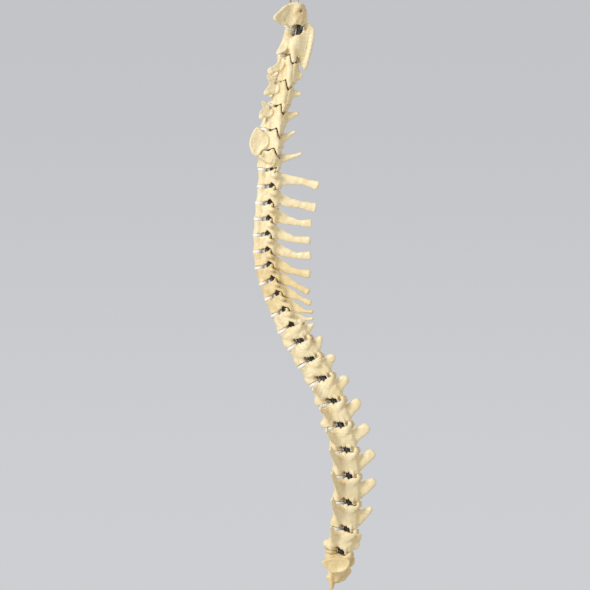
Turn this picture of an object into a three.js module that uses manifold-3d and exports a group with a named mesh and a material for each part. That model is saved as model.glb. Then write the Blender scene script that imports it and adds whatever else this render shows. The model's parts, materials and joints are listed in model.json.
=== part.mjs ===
// Teaching model of a dog's vertebral column, hanging from a wire loop.
// Millimetres. +X is dorsal (the side of the spines), +Y is the animal's right, +Z is cranial (up).
// The origin is the point of the hanging loop that bears on whatever hook it hangs from.

import * as THREE from 'three';
import { mergeVertices } from 'three/addons/utils/BufferGeometryUtils.js';
import Module from 'manifold-3d';

const wasm = await Module();
wasm.setup();

// Clearances and joining overlaps
const SEAT_GAP = 0.35; // between faces that rest on each other
const SINK = 0.8; // how deep a process is rooted in the bone that carries it
const OVERRUN = 2; // how far a cut runs past the surface that it opens

// Hanging loop and the core that threads the bones
const LOOP_SPAN = 7.7; // between the centre lines of the two legs
const LOOP_WIRE = 1.8; // wire diameter
const LOOP_RISE = 12; // from the top of the atlas up to the bearing point
const LOOP_SOCKET = 5; // depth of the ventral leg in the atlas
const LOOP_STEPS = 24;
const LOOP_BEND_DEG = [135, 90, 45]; // where the points of the loop's bend lie round it
const CORE_DIAMETER = 4.6;
const CORE_X = 9.8; // from the spine's line to the core
const CORE_TOP_X = 8.8; // the same, at the core's upper end
const CORE_TOP_DROP = 8; // from the top of the atlas down to the end of the core
const CORE_TAIL = 14; // length of core inside the sacrum
const FERRULE_DIAMETER = 6.8;
const FERRULE_LENGTH = 4.8;
const FERRULE_GRIP = 3; // length of core inside a ferrule

// Atlas
const ATLAS_TOP_X = -1; // from the loop's centre line to the spine's line at the top of the atlas
const ATLAS_LEAN_DEG = -7;
const ATLAS_LENGTH = 24.6;
const ATLAS_RING_WIDTH = 27;
const ATLAS_RING_DEPTH = 19;
const ATLAS_RING_WALL = 3;
const ATLAS_RING_X = 6.5; // from the spine's line to the middle of the ring
const ATLAS_BOSS_DIAMETER = 6.4; // round the hole for the loop's leg
const ATLAS_BOSS_LENGTH = 10;
const ATLAS_WING_SPAN = 59; // over both wings
const ATLAS_WING_THICKNESS = 6.4; // at the root
const ATLAS_WING_ROOT = 22; // length along the bone, at the root
const ATLAS_WING_SAG = 12.5; // how far the wing's edge lies ventral of the spine's line
const ATLAS_WING_EDGE = 10; // length of the wing's outer edge
const ATLAS_WING_SWEEP = 8; // how far caudal of the bone's middle the outer edge lies
const ATLAS_WING_EDGE_SHARE = 0.35; // of the wing's thickness, at its outer edge
// The wing's knee, as shares of its sag, its sweep, its root and its thickness
const ATLAS_KNEE_SHARES = { sag: 0.4, sweep: 0.55, root: 0.38, thickness: 0.5 };
const ATLAS_NOTCH_LENGTH = 11; // of the slope at the back of the ring, under the blade of the axis
const ATLAS_NOTCH_DEPTH = 4;
const ATLAS_PAD_GAP = 3; // between the atlas and the shoulders of the axis

// Axis
const AXIS_SHOULDER_WIDTH = 24;
const AXIS_SHOULDER_DEPTH = 10;
const AXIS_BLADE_THICKNESS = 3.4;
const AXIS_BLADE_RISE = 25; // how far the blade stands cranial of the bone's middle
const AXIS_BLADE_REACH = 27; // from the spine's line to the blade's back edge
const DENS_DIAMETER = 4.2;
const DENS_LENGTH = 8;
const DENS_X = 2.9; // from the spine's line to the dens
// Outline of the blade of the axis, as shares of its reach and its rise
const AXIS_BLADE_SHARES = [
  [0.36, 0.24], [0.5, 0.32], [0.5, 0.7], [0.63, 1], [0.88, 0.75], [0.97, 0.1], [1, -0.7], [0.95, -0.86],
  [0.73, -0.87], [0.48, -0.55], [0.36, -0.4],
];

// Sizes shared by the vertebrae of a region. A facet's lap is half the length over which two bones' facets
// slide on each other, and its x is how far dorsal of the spine's line they meet.
const CERVICAL = {
  bodyDepth: 11, bodyWidth: 16, discThickness: 3.2,
  canalDiameter: 9, archWidth: 25, archDepth: 15, roofX: 17, hooked: false,
  facetX: 11.5, facetLap: 3.6, facetGap: 1.3, facetThickness: 3, facetWidth: 4.4,
  pedicleFore: 1.4, pedicleAft: 5.5,
  spineRoot: 10, spineWidth: 3.2, kneeShare: 0.45,
};
const THORACIC = {
  bodyDepth: 11, bodyWidth: 14, discThickness: 3.4,
  canalDiameter: 7.4, archWidth: 15, archDepth: 15, roofX: 17.6, hooked: false,
  facetX: 14.4, facetLap: 2.6, facetGap: 1.1, facetThickness: 2.2, facetWidth: 3,
  pedicleFore: 1.4, pedicleAft: 6.2,
  spineRoot: 12.6, spineWidth: 3.8, kneeShare: 0.36,
};
const LUMBAR = {
  bodyDepth: 13, bodyWidth: 19, discThickness: 3.8,
  canalDiameter: 8, archWidth: 21, archDepth: 16, roofX: 18.5, hooked: true,
  facetX: 14.6, facetLap: 3.4, facetGap: 1.3, facetThickness: 7.4, facetWidth: 3.4,
  pedicleFore: 1.6, pedicleAft: 6.6,
  spineRoot: 13, spineWidth: 3.8, kneeShare: 0.5,
};

const AXIAL = {
  ...CERVICAL, bodyDepth: AXIS_SHOULDER_DEPTH, bodyWidth: AXIS_SHOULDER_WIDTH, discThickness: 0, pedicleFore: 6,
};

// Processes at the sides, from the bone's middle: fore is cranial, sag is ventral of the spine's line
const PRONG = { root: 7, tip: 4.4, thickness: 4 };
const PRONGS = {
  cervical_4: { reach: 14, fore: 14.6, sag: 8 },
  cervical_5: { reach: 14, fore: 12.4, sag: 7.2 },
  cervical_6: { reach: 14, fore: 11, sag: 6 },
};
const KNOB = { root: 8, tip: 5.4, thickness: 5 };
const KNOBS = {
  cervical_3: { reach: 15, fore: -5, sag: 7.6 },
  cervical_4: { reach: 16, fore: -1.4, sag: 6 },
  cervical_5: { reach: 15.6, fore: 0.8, sag: 6.4 },
};
const COSTAL = { reach: 13, fore: 4, sag: -13, root: 7, tip: 5, thickness: 5 };
const STUB = { reach: 14, fore: 4, sag: 1, root: 8, tip: 5, thickness: 4 };
const AXIS_WING = { reach: 16, fore: -12, sag: 3.6, root: 9, tip: 4.8, thickness: 4.2 };
const BLADE = { root: 11, tip: 6.2, thickness: 2.8 };
const BLADES = {
  lumbar_1: { reach: 20, fore: 8, sag: 2 },
  lumbar_2: { reach: 25, fore: 12, sag: 3 },
  lumbar_3: { reach: 28, fore: 15, sag: 2.8 },
  lumbar_4: { reach: 31, fore: 20, sag: 4.2 },
  lumbar_5: { reach: 32, fore: 21.5, sag: 4.8 },
  lumbar_6: { reach: 31, fore: 20, sag: 4 },
  lumbar_7: { reach: 24, fore: 15, sag: 4 },
};
const LAMINA = { length: 30, depth: 13.8, inner: 9.5, thickness: 3 };
// Outline of a ventral plate, as shares of its depth and its length
const LAMINA_SHARES = [
  [0, 0.2], [0.72, 0.42], [0.98, 0.16], [1, -0.16], [0.88, -0.42], [0.6, -0.56], [0.46, -0.4], [0.3, -0.24],
  [0, -0.12],
];

// One row for each bone from the axis to the sacrum, in mm and degrees.
// pitch: disc to disc. leanDeg: tilt of the body's line, positive where it runs dorsally on its way down.
// root and drop: how far caudal of the bone's middle the spine's root and tip lie. reach: how far dorsal of
// the spine's line the tip lies. tip: the tip's length. bow: how far the spine sags between root and tip.
const BONES = [
  { name: 'axis_c2', kind: AXIAL, pitch: 26.5, leanDeg: -16, root: 4, reach: 27, drop: 15.5, tip: 6, bow: 0 },
  { name: 'cervical_3', kind: CERVICAL, pitch: 27, leanDeg: -11, root: 2, reach: 22, drop: 5, tip: 8, bow: 0 },
  { name: 'cervical_4', kind: CERVICAL, pitch: 25.5, leanDeg: -14, root: -4, reach: 25.5, drop: -6, tip: 5, bow: 0 },
  { name: 'cervical_5', kind: CERVICAL, pitch: 25.5, leanDeg: -13.5, root: -5, reach: 28, drop: -11, tip: 4.5, bow: 0 },
  { name: 'cervical_6', kind: CERVICAL, pitch: 21.5, leanDeg: -6, root: -4, reach: 30, drop: -11.5, tip: 4, bow: 0 },
  { name: 'cervical_7', kind: CERVICAL, pitch: 19.5, leanDeg: -3, root: -3, reach: 38.5, drop: -8.5, tip: 4, bow: 1 },
  { name: 'thoracic_1', kind: THORACIC, pitch: 17.5, leanDeg: -3, root: 0.5, reach: 58.5, drop: 5.5, tip: 9, bow: -2 },
  { name: 'thoracic_2', kind: THORACIC, pitch: 17, leanDeg: -6.5, root: 2, reach: 58, drop: 6.5, tip: 9.5, bow: 1 },
  { name: 'thoracic_3', kind: THORACIC, pitch: 16.5, leanDeg: -5, root: 3, reach: 55, drop: 8, tip: 8, bow: 2.5 },
  { name: 'thoracic_4', kind: THORACIC, pitch: 16.5, leanDeg: -3.5, root: 3.6, reach: 54, drop: 10, tip: 8, bow: 3 },
  { name: 'thoracic_5', kind: THORACIC, pitch: 17, leanDeg: 0.5, root: 4.5, reach: 54.5, drop: 12.5, tip: 8.5, bow: 3.5 },
  { name: 'thoracic_6', kind: THORACIC, pitch: 16.5, leanDeg: 6.5, root: 6, reach: 51, drop: 21, tip: 8.5, bow: 2 },
  { name: 'thoracic_7', kind: THORACIC, pitch: 16.5, leanDeg: 15, root: 6.8, reach: 42.5, drop: 29, tip: 7, bow: 0 },
  { name: 'thoracic_8', kind: THORACIC, pitch: 16.5, leanDeg: 20, root: 6.8, reach: 38.5, drop: 27.5, tip: 6, bow: 0 },
  { name: 'thoracic_9', kind: THORACIC, pitch: 18, leanDeg: 22.5, root: 5, reach: 36, drop: 20.5, tip: 3.6, bow: 3 },
  { name: 'thoracic_10', kind: THORACIC, pitch: 18.5, leanDeg: 25, root: 3, reach: 33, drop: 10.5, tip: 3.4, bow: 1 },
  { name: 'thoracic_11', kind: LUMBAR, pitch: 19.5, leanDeg: 30.5, root: 1, reach: 30, drop: -0.5, tip: 4, bow: 0 },
  { name: 'thoracic_12', kind: LUMBAR, pitch: 21.5, leanDeg: 31, root: 1, reach: 29.5, drop: -5, tip: 7, bow: 0 },
  { name: 'thoracic_13', kind: LUMBAR, pitch: 22.5, leanDeg: 32.5, root: 0, reach: 30.5, drop: -3, tip: 9, bow: 0 },
  { name: 'lumbar_1', kind: LUMBAR, pitch: 24, leanDeg: 24.5, root: 0, reach: 32, drop: -5, tip: 10, bow: 0 },
  { name: 'lumbar_2', kind: LUMBAR, pitch: 24.5, leanDeg: 16, root: 0, reach: 35, drop: -7.5, tip: 10, bow: 1 },
  { name: 'lumbar_3', kind: LUMBAR, pitch: 25.5, leanDeg: 13.5, root: 0, reach: 36.5, drop: -6.5, tip: 11, bow: 1 },
  { name: 'lumbar_4', kind: LUMBAR, pitch: 25, leanDeg: 5, root: 0, reach: 36.5, drop: -10, tip: 11, bow: 1 },
  { name: 'lumbar_5', kind: LUMBAR, pitch: 26.5, leanDeg: -1, root: 0, reach: 36, drop: -10.5, tip: 9, bow: 1 },
  { name: 'lumbar_6', kind: LUMBAR, pitch: 26.5, leanDeg: -5, root: 0, reach: 33, drop: -10.5, tip: 7, bow: 1 },
  { name: 'lumbar_7', kind: LUMBAR, pitch: 24, leanDeg: -13.5, root: -1, reach: 25, drop: -12, tip: 5, bow: 0 },
  { name: 'sacrum', kind: LUMBAR, pitch: 36, leanDeg: -4, root: 0, reach: 22, drop: -4, tip: 6, bow: 0 },
];

// Sacrum
const SACRUM_TAIL = { bodyDepth: 4, bodyWidth: 12, discThickness: 0 };
const SACRUM_WING_SPAN = 44;
const SACRUM_WING_DEPTH = 24.5; // of the surface that meets the hip bone, ventral to dorsal
const SACRUM_WING_LENGTH = 14;
const SACRUM_WING_X = -6; // from the spine's line to the wing's ventral point
const SACRUM_WING_DROP = 5; // from the disc to the wing's cranial edge
const SACRUM_CREST_REACH = 20.5;
const SACRUM_CREST_THICKNESS = 4;
const SACRUM_ARCH_SHARE = 0.8; // how far down the bone's half length its arch runs
const SACRUM_SPIKE = { reach: 5, length: 7, depth: 4, width: 5 };
// Outline of a wing of the sacrum, as shares of its depth and its length
const SACRUM_WING_SHARES = [[0, 0.4], [0.3, 0.02], [0.96, 0], [1, 0.6], [0.48, 1]];
// Outline of the crest, as shares of its reach and of the bone's length
const SACRUM_CREST_SHARES = [
  [0.5, 0.42], [0.78, 0.44], [1, 0.4], [0.97, 0.18], [0.84, 0.1], [1, -0.04], [0.84, -0.14], [0.74, -0.28],
  [0.5, -0.22],
];

// Seams between the arches and spines of neighbouring bones
const SEAM_SHARES = [0, 0.4, 0.75, 1, 1.5]; // of a spine's length
const SEAM_DEPTH = 60; // how far a seam's cut runs along the line
const SEAM_WIDTH = 20;
const SEAM_RELIEF = 0.3; // room past a facet's end

// Facets of the curved solids
const WAIST_SHARE = 0.82; // of a body's width, at its middle
const SPINE_KNEE_SHARE = 0.6; // how far a spine has narrowed at its knee
const SPINE_NECK_SHARE = 0.75; // where along a spine its neck lies
const SPINE_NECK_WIDTH_SHARE = 0.85;
const SPINE_TIP_SHARE = 0.75;
const SIDE_NECK_SHARE = 0.7; // how far a side process has narrowed halfway
const SIDE_TIP_SHARE = 0.8;
const ROUND_SIDES = 8;
const SLIM_SIDES = 6;
const DISC_SIDES = 10;
const ATLAS_SIDES = 12;
const CORE_STEPS = 66;

// Finishes
const BONE = new THREE.MeshStandardMaterial({ name: 'bone', color: 0xf2e2b8, roughness: 0.5, metalness: 0 });
const FOAM = new THREE.MeshStandardMaterial({ name: 'foam', color: 0xf6f4f0, roughness: 0.8, metalness: 0 });
const RUBBER = new THREE.MeshStandardMaterial({ name: 'core', color: 0x2c2a2b, roughness: 0.45, metalness: 0 });
const BRASS = new THREE.MeshStandardMaterial({ name: 'brass', color: 0xb79a5c, roughness: 0.35, metalness: 1 });

// A closed geometry as a solid that can be joined and cut
function solid(geometry) {
  const bare = geometry.index ? geometry.toNonIndexed() : geometry.clone();
  bare.deleteAttribute('normal');
  bare.deleteAttribute('uv');
  const merged = mergeVertices(bare);
  return new wasm.Manifold(new wasm.Mesh({
    numProp: 3,
    vertProperties: merged.attributes.position.array,
    triVerts: new Uint32Array(merged.index.array),
  }));
}

// A solid as a geometry for a mesh
function geometryOf(made) {
  const { vertProperties, triVerts } = made.getMesh();
  const geometry = new THREE.BufferGeometry();
  geometry.setAttribute('position', new THREE.BufferAttribute(vertProperties, 3));
  geometry.setIndex(new THREE.BufferAttribute(triVerts, 1));
  geometry.computeVertexNormals();
  return geometry;
}

// Joins solids that overlap into one
const joined = (parts) => parts.reduce((whole, part) => whole.add(part));

// A closed skin over rings of points, each ring with as many points as the next
function skin(rings) {
  const count = rings[0].length;
  const faces = [];
  for (let r = 0; r + 1 < rings.length; r += 1) {
    for (let i = 0; i < count; i += 1) {
      const a = r * count + i;
      const b = r * count + ((i + 1) % count);
      faces.push(a, b, b + count, a, b + count, a + count);
    }
  }
  const last = (rings.length - 1) * count;
  for (let i = 1; i + 1 < count; i += 1) {
    faces.push(0, i + 1, i, last, last + i, last + i + 1);
  }
  const geometry = new THREE.BufferGeometry().setFromPoints(rings.flat());
  geometry.setIndex(faces);
  return geometry;
}

// An ellipse of points round a centre, its first axis being the first one given
function ring(centre, first, firstRadius, second, secondRadius, sides) {
  return Array.from({ length: sides }, (_, i) => {
    const turn = ((i + (sides % 4 ? 1 / 2 : 0)) / sides) * 2 * Math.PI;
    return centre.clone()
      .addScaledVector(first, firstRadius * Math.cos(turn))
      .addScaledVector(second, secondRadius * Math.sin(turn));
  });
}

// A limb along a line of stations [x, y, z, radius along side, radius across it]
function limb(stations, side = new THREE.Vector3(0, 1, 0), sides = SLIM_SIDES) {
  const centres = stations.map(([x, y, z]) => new THREE.Vector3(x, y, z));
  const rings = centres.map((centre, i) => {
    const before = centres[Math.max(i - 1, 0)];
    const after = centres[Math.min(i + 1, centres.length - 1)];
    const way = after.clone().sub(before).normalize();
    const first = side.clone().addScaledVector(way, -side.dot(way)).normalize();
    const second = way.clone().cross(first);
    return ring(centre, first, stations[i][3], second, stations[i][4], sides);
  });
  return solid(skin(rings));
}

// A flat plate with an outline in the plane of symmetry, between two distances from it
function plate(outline, from, to) {
  const shape = new THREE.Shape(outline.map(([x, z]) => new THREE.Vector2(x, z)));
  const geometry = new THREE.ExtrudeGeometry(shape, { depth: to - from, bevelEnabled: false });
  return solid(geometry.rotateX(Math.PI / 2).translate(0, to, 0));
}

// The same plate on both sides of the plane of symmetry
const platePair = (outline, from, to) => plate(outline, from, to).add(plate(outline, -to, -from));

// The same limb on both sides, given by its stations on the right
function limbPair(stations, side, sides) {
  const mirrored = stations.map(([x, y, z, a, b]) => [x, -y, z, a, b]);
  return limb(stations, side, sides).add(limb(mirrored, side, sides));
}

// Frames along the spine's line. A frame's x is dorsal and its z is cranial.
class Frame {
  constructor(x, z, leanDeg) {
    this.x = x;
    this.z = z;
    this.leanDeg = leanDeg;
    this.lean = THREE.MathUtils.degToRad(leanDeg);
  }

  // The point at a dorsal and a cranial distance, in the whole model
  at(dorsal, cranial) {
    return [
      this.x + dorsal * Math.cos(this.lean) - cranial * Math.sin(this.lean),
      this.z + dorsal * Math.sin(this.lean) + cranial * Math.cos(this.lean),
    ];
  }

  // A frame further down the line
  down(length, leanDeg = this.leanDeg) {
    const [x, z] = this.at(0, -length);
    return new Frame(x, z, leanDeg);
  }

  // A point of another frame, in this one's dorsal and cranial distances
  from(other, dorsal, cranial) {
    const [x, z] = other.at(dorsal, cranial);
    const dx = x - this.x;
    const dz = z - this.z;
    return [
      dx * Math.cos(this.lean) + dz * Math.sin(this.lean),
      dz * Math.cos(this.lean) - dx * Math.sin(this.lean),
    ];
  }

  turned(leanDeg) {
    return new Frame(this.x, this.z, leanDeg);
  }
}

// Lays the bones out along the line, with a frame at each one's middle and at the disc below it
function layOut() {
  const atlasTop = new Frame(ATLAS_TOP_X, -LOOP_RISE, ATLAS_LEAN_DEG);
  const atlas = atlasTop.down(ATLAS_LENGTH / 2);
  const shoulders = atlasTop.down(ATLAS_LENGTH + ATLAS_PAD_GAP, BONES[0].leanDeg);
  let point = shoulders;
  const bones = BONES.map((row, index) => {
    const start = point.turned(row.leanDeg);
    point = start.down(row.pitch);
    const next = BONES[index + 1] ?? row;
    const foot = point.turned((row.leanDeg + next.leanDeg) / 2);
    return { row, frame: start.down(row.pitch / 2), foot, joint: next.kind };
  });
  bones.forEach((bone, index) => {
    bone.head = index > 0 ? bones[index - 1].foot : shoulders;
    bone.below = bones[index + 1];
    bone.above = bones[index - 1];
  });
  return { atlasTop, atlas, shoulders, bones };
}

const WORLD = new Frame(0, 0, 0);

// A point of the spine's middle line, given by a share of its length, in the whole model
function spinePoint({ row, frame }, share) {
  const dorsal = THREE.MathUtils.lerp(row.kind.roofX, row.reach, share);
  const caudal = THREE.MathUtils.lerp(row.root, row.drop, share) + row.bow * Math.sin(share * Math.PI);
  return frame.at(dorsal, -caudal);
}

// The seam between a bone and the one below it, from their facets out between their spines, moved cranially
// by a distance, in the frame of a bone
function seam(frame, bone, x, shift) {
  const { foot, joint, below } = bone;
  const start = frame.from(foot, x, shift - joint.facetLap);
  const line = SEAM_SHARES.map((share) => {
    const upper = spinePoint(bone, share);
    const lower = spinePoint(below, share);
    const middle = foot.from(WORLD, (upper[0] + lower[0]) / 2, (upper[1] + lower[1]) / 2);
    return frame.from(foot, middle[0], middle[1] + shift);
  });
  return [start, ...line];
}

// Cuts away what a bone has on the far side of the seam below it
function seamFoot(bone) {
  const { frame, foot, joint } = bone;
  const x = joint.facetX + joint.facetGap / 2;
  const line = seam(frame, bone, x, joint.facetGap / 2);
  const far = line[line.length - 1];
  const inside = frame.from(foot, CORE_X, joint.facetGap / 2 - joint.facetLap);
  const corner = frame.from(foot, CORE_X, -SEAM_DEPTH);
  return plate([inside, ...line, [far[0], corner[1]], corner], -SEAM_WIDTH, SEAM_WIDTH);
}

// Cuts away what a bone has on the far side of the seam above it
function seamHead(bone) {
  const { frame, head, above } = bone;
  const { joint } = above;
  const x = joint.facetX - joint.facetGap / 2;
  const shift = -joint.facetGap / 2 - SEAM_RELIEF;
  const line = seam(frame, above, joint.facetX + joint.facetGap / 2, shift);
  const far = line[line.length - 1];
  const inside = frame.from(head, x, shift - joint.facetLap);
  const corner = frame.from(head, x, SEAM_DEPTH);
  const wide = joint.hooked ? joint.archWidth / 2 - joint.facetWidth : SEAM_WIDTH;
  return plate([inside, ...line, [far[0], corner[1]], corner], -wide, wide);
}

// The body of a bone, square to the disc at each end and drawn in at the waist
function centrum({ frame, head, foot, row, joint }, above = row.kind) {
  const stations = [
    { from: head, cranial: -above.discThickness / 2, kind: row.kind, narrow: 1 },
    { from: foot, cranial: joint.discThickness / 2, kind: joint, narrow: 1 },
  ];
  const ends = stations.map(({ from, cranial, kind }) => Array.from({ length: ROUND_SIDES }, (_, i) => {
    const turn = (i / ROUND_SIDES) * 2 * Math.PI;
    const [x, z] = frame.from(from, (kind.bodyDepth / 2) * Math.cos(turn), cranial);
    return new THREE.Vector3(x, (-kind.bodyWidth / 2) * Math.sin(turn), z);
  }));
  const waist = ends[0].map((point, i) => {
    const middle = point.clone().lerp(ends[1][i], 0.5);
    return new THREE.Vector3(middle.x * WAIST_SHARE, middle.y * WAIST_SHARE, middle.z);
  });
  return solid(skin([ends[0], waist, ends[1]]));
}

// The bore for the core, along the line of a bone
function canal({ frame, head, foot, row, joint }) {
  const upper = frame.from(head, CORE_X, row.kind.facetLap + OVERRUN);
  const lower = frame.from(foot, CORE_X, -joint.facetLap - OVERRUN);
  const wide = row.kind.canalDiameter / 2;
  const narrow = joint.canalDiameter / 2;
  return limb([
    [upper[0], 0, upper[1], wide, wide],
    [CORE_X, 0, 0, wide, wide],
    [lower[0], 0, lower[1], narrow, narrow],
  ]);
}

// The cranial half of an arch: its roof, and the facets that the bone above slides on
function upperArch({ frame, head, row }) {
  const { roofX, facetX, facetLap, facetGap, facetThickness, pedicleFore, hooked } = row.kind;
  const outer = row.kind.archWidth / 2;
  const inner = outer - row.kind.facetWidth;
  const up = (dorsal, cranial) => frame.from(head, dorsal, cranial);
  const roof = plate([
    up(CORE_X, -pedicleFore - facetGap),
    up(roofX, -pedicleFore - facetGap),
    [roofX, -OVERRUN],
    [CORE_X, -OVERRUN],
  ], -inner, inner);
  const tip = facetX + (hooked ? facetThickness : facetGap);
  const process = platePair([
    up(CORE_X - SINK, -pedicleFore),
    up(tip - facetThickness - facetGap, hooked ? 0 : facetLap),
    up(tip - facetThickness / 2, facetLap),
    up(tip, hooked ? facetLap / 2 : facetLap),
    up(tip, -facetLap),
    [roofX - facetGap, 0],
    [CORE_X - SINK, 0],
  ], inner - SINK, outer);
  return [roof, process];
}

// The caudal half of an arch, with the facets that slide on those of the bone below
function lowerArch({ frame, foot, row, joint }) {
  const { roofX } = row.kind;
  const { facetX, facetLap, facetGap, pedicleAft, hooked } = joint;
  const outer = joint.archWidth / 2;
  const inner = outer - joint.facetWidth;
  const down = (dorsal, cranial) => frame.from(foot, dorsal, cranial);
  const over = facetX + facetGap / 2;
  const outline = [
    [CORE_X, 0],
    [roofX, 0],
    down(roofX, -facetLap * 2),
    down(over, -facetLap * 2),
    down(over, facetLap + facetGap),
    down(CORE_X, pedicleAft),
  ];
  return hooked ? plate(outline, -inner + facetGap, inner - facetGap) : plate(outline, -outer, outer);
}

// The ring of an arch round the canal
function archRing({ frame, head, foot, row, joint }) {
  const { kind } = row;
  const top = frame.from(head, CORE_X, -kind.pedicleFore - kind.facetGap);
  const end = frame.from(foot, CORE_X, joint.pedicleAft);
  return limb([
    [top[0], 0, top[1], kind.archWidth / 2, kind.archDepth / 2],
    [end[0], 0, end[1], joint.archWidth / 2, joint.archDepth / 2],
  ], undefined, ROUND_SIDES);
}

// The spine of a vertebra, from its root in the roof through a knee and a neck to its tip
function spine(bone) {
  const { kind, reach, drop, tip, root } = bone.row;
  const half = kind.spineWidth / 2;
  const rootHalf = kind.spineRoot / 2;
  const station = (share, wide, long) => {
    const [x, z] = bone.frame.from(WORLD, ...spinePoint(bone, share));
    return [x, 0, z, wide, long];
  };
  const long = (share) => THREE.MathUtils.lerp(rootHalf, tip / 2, share);
  return limb([
    [kind.roofX - kind.spineWidth, 0, -root, half, rootHalf],
    station(kind.kneeShare, half, long(SPINE_KNEE_SHARE)),
    station(SPINE_NECK_SHARE, half * SPINE_NECK_WIDTH_SHARE, long(1) * SPINE_NECK_WIDTH_SHARE),
    [reach - half, 0, -drop, half, tip / 2],
    [reach, 0, -drop, half * SPINE_TIP_SHARE, (tip / 2) * SPINE_TIP_SHARE],
  ]);
}

// A process at each side, from its root in the body or the arch out to its tip
function sideProcess(size, rootX, rootY, rootZ = 0) {
  const half = size.thickness / 2;
  const middle = [(rootX - size.sag) / 2, (rootY + size.reach) / 2, (rootZ + size.fore) / 2];
  return limbPair([
    [rootX, rootY - SINK, rootZ, size.root / 2, half],
    [...middle, THREE.MathUtils.lerp(size.root, size.tip, SIDE_NECK_SHARE) / 2, half],
    [-size.sag, size.reach, size.fore, size.tip / 2, half * SIDE_TIP_SHARE],
  ], new THREE.Vector3(0, 0, 1));
}

// The ventral plates of the sixth vertebra of the neck
function laminae() {
  const { length, depth, inner, thickness } = LAMINA;
  const outline = LAMINA_SHARES.map(([across, along]) => [-depth * across, length * along]);
  return platePair(outline, inner - thickness, inner);
}

function sideProcesses({ kind, name }) {
  const side = (kind.bodyWidth / 2) * WAIST_SHARE - SINK;
  if (name === 'cervical_7') return [sideProcess(STUB, STUB.sag, side)];
  if (name.startsWith('thoracic')) {
    return [sideProcess(COSTAL, CORE_X, kind.archWidth / 2 - SINK, COSTAL.fore)];
  }
  const made = [];
  const [prong, knob, blade] = [PRONGS[name], KNOBS[name], BLADES[name]];
  if (prong) made.push(sideProcess({ ...PRONG, ...prong }, 0, side));
  if (knob) made.push(sideProcess({ ...KNOB, ...knob }, 0, side, knob.fore));
  if (blade) made.push(sideProcess({ ...BLADE, ...blade }, kind.bodyDepth / 4, side));
  if (name === 'cervical_6') made.push(laminae());
  return made;
}

function vertebra(bone) {
  const whole = joined([
    centrum(bone),
    archRing(bone),
    ...upperArch(bone),
    lowerArch(bone),
    spine(bone),
    ...sideProcesses(bone.row),
  ]);
  return whole.subtract(canal(bone)).subtract(seamFoot(bone)).subtract(seamHead(bone));
}

// The axis, with its shoulders, its dens and its blade
function axis(bone) {
  const { frame, head } = bone;
  const at = (dorsal, cranial) => frame.from(head, dorsal, cranial);
  const foot = at(DENS_X, -OVERRUN);
  const neck = at(DENS_X, DENS_LENGTH - DENS_DIAMETER / 2);
  const tip = at(DENS_X, DENS_LENGTH);
  const wide = DENS_DIAMETER / 2;
  const dens = limb([
    [foot[0], 0, foot[1], wide, wide],
    [neck[0], 0, neck[1], wide, wide],
    [tip[0], 0, tip[1], wide / 2, wide / 2],
  ], undefined, ROUND_SIDES);
  const outline = AXIS_BLADE_SHARES.map(([across, along]) => [AXIS_BLADE_REACH * across, AXIS_BLADE_RISE * along]);
  const blade = plate(outline, -AXIS_BLADE_THICKNESS / 2, AXIS_BLADE_THICKNESS / 2);
  const side = (CERVICAL.bodyWidth / 2) * WAIST_SHARE;
  const wing = sideProcess(AXIS_WING, 0, side, -AXIS_WING.root / 2);
  const whole = joined([centrum(bone), archRing(bone), lowerArch(bone), dens, blade, wing]);
  return whole.subtract(canal(bone)).subtract(seamFoot(bone));
}

// The hanging loop's path, from the end of the ventral leg over the top to the end of the dorsal leg
function loopPath({ atlasTop }) {
  const half = LOOP_SPAN / 2;
  const top = LOOP_WIRE / 2;
  const foot = atlasTop.at(0, 0)[1];
  const end = atlasTop.at(CORE_TOP_X, -CORE_TOP_DROP + SEAT_GAP);
  const before = atlasTop.at(CORE_TOP_X, -CORE_TOP_DROP + FERRULE_LENGTH);
  const points = [[-half, foot - LOOP_SOCKET], [-half, foot], [-half, foot / 2], [-half, top - half]];
  const arc = LOOP_BEND_DEG.map((angle) => {
    const turn = THREE.MathUtils.degToRad(angle);
    return [half * Math.cos(turn), top - half + half * Math.sin(turn)];
  });
  points.push(...arc, [half, top - half], [half, foot / 2], [half, foot], before, end);
  return new THREE.CatmullRomCurve3(points.map(([x, z]) => new THREE.Vector3(x, 0, z)), false, 'centripetal');
}

// A rod along a path
function rod(path, diameter, steps) {
  const wide = diameter / 2;
  const section = ring(
    new THREE.Vector3(), new THREE.Vector3(1, 0, 0), wide, new THREE.Vector3(0, 1, 0), wide, ROUND_SIDES,
  );
  const shape = new THREE.Shape(section.map(({ x, y }) => new THREE.Vector2(x, y)));
  return solid(new THREE.ExtrudeGeometry(shape, { steps, extrudePath: path, bevelEnabled: false }));
}

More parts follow.
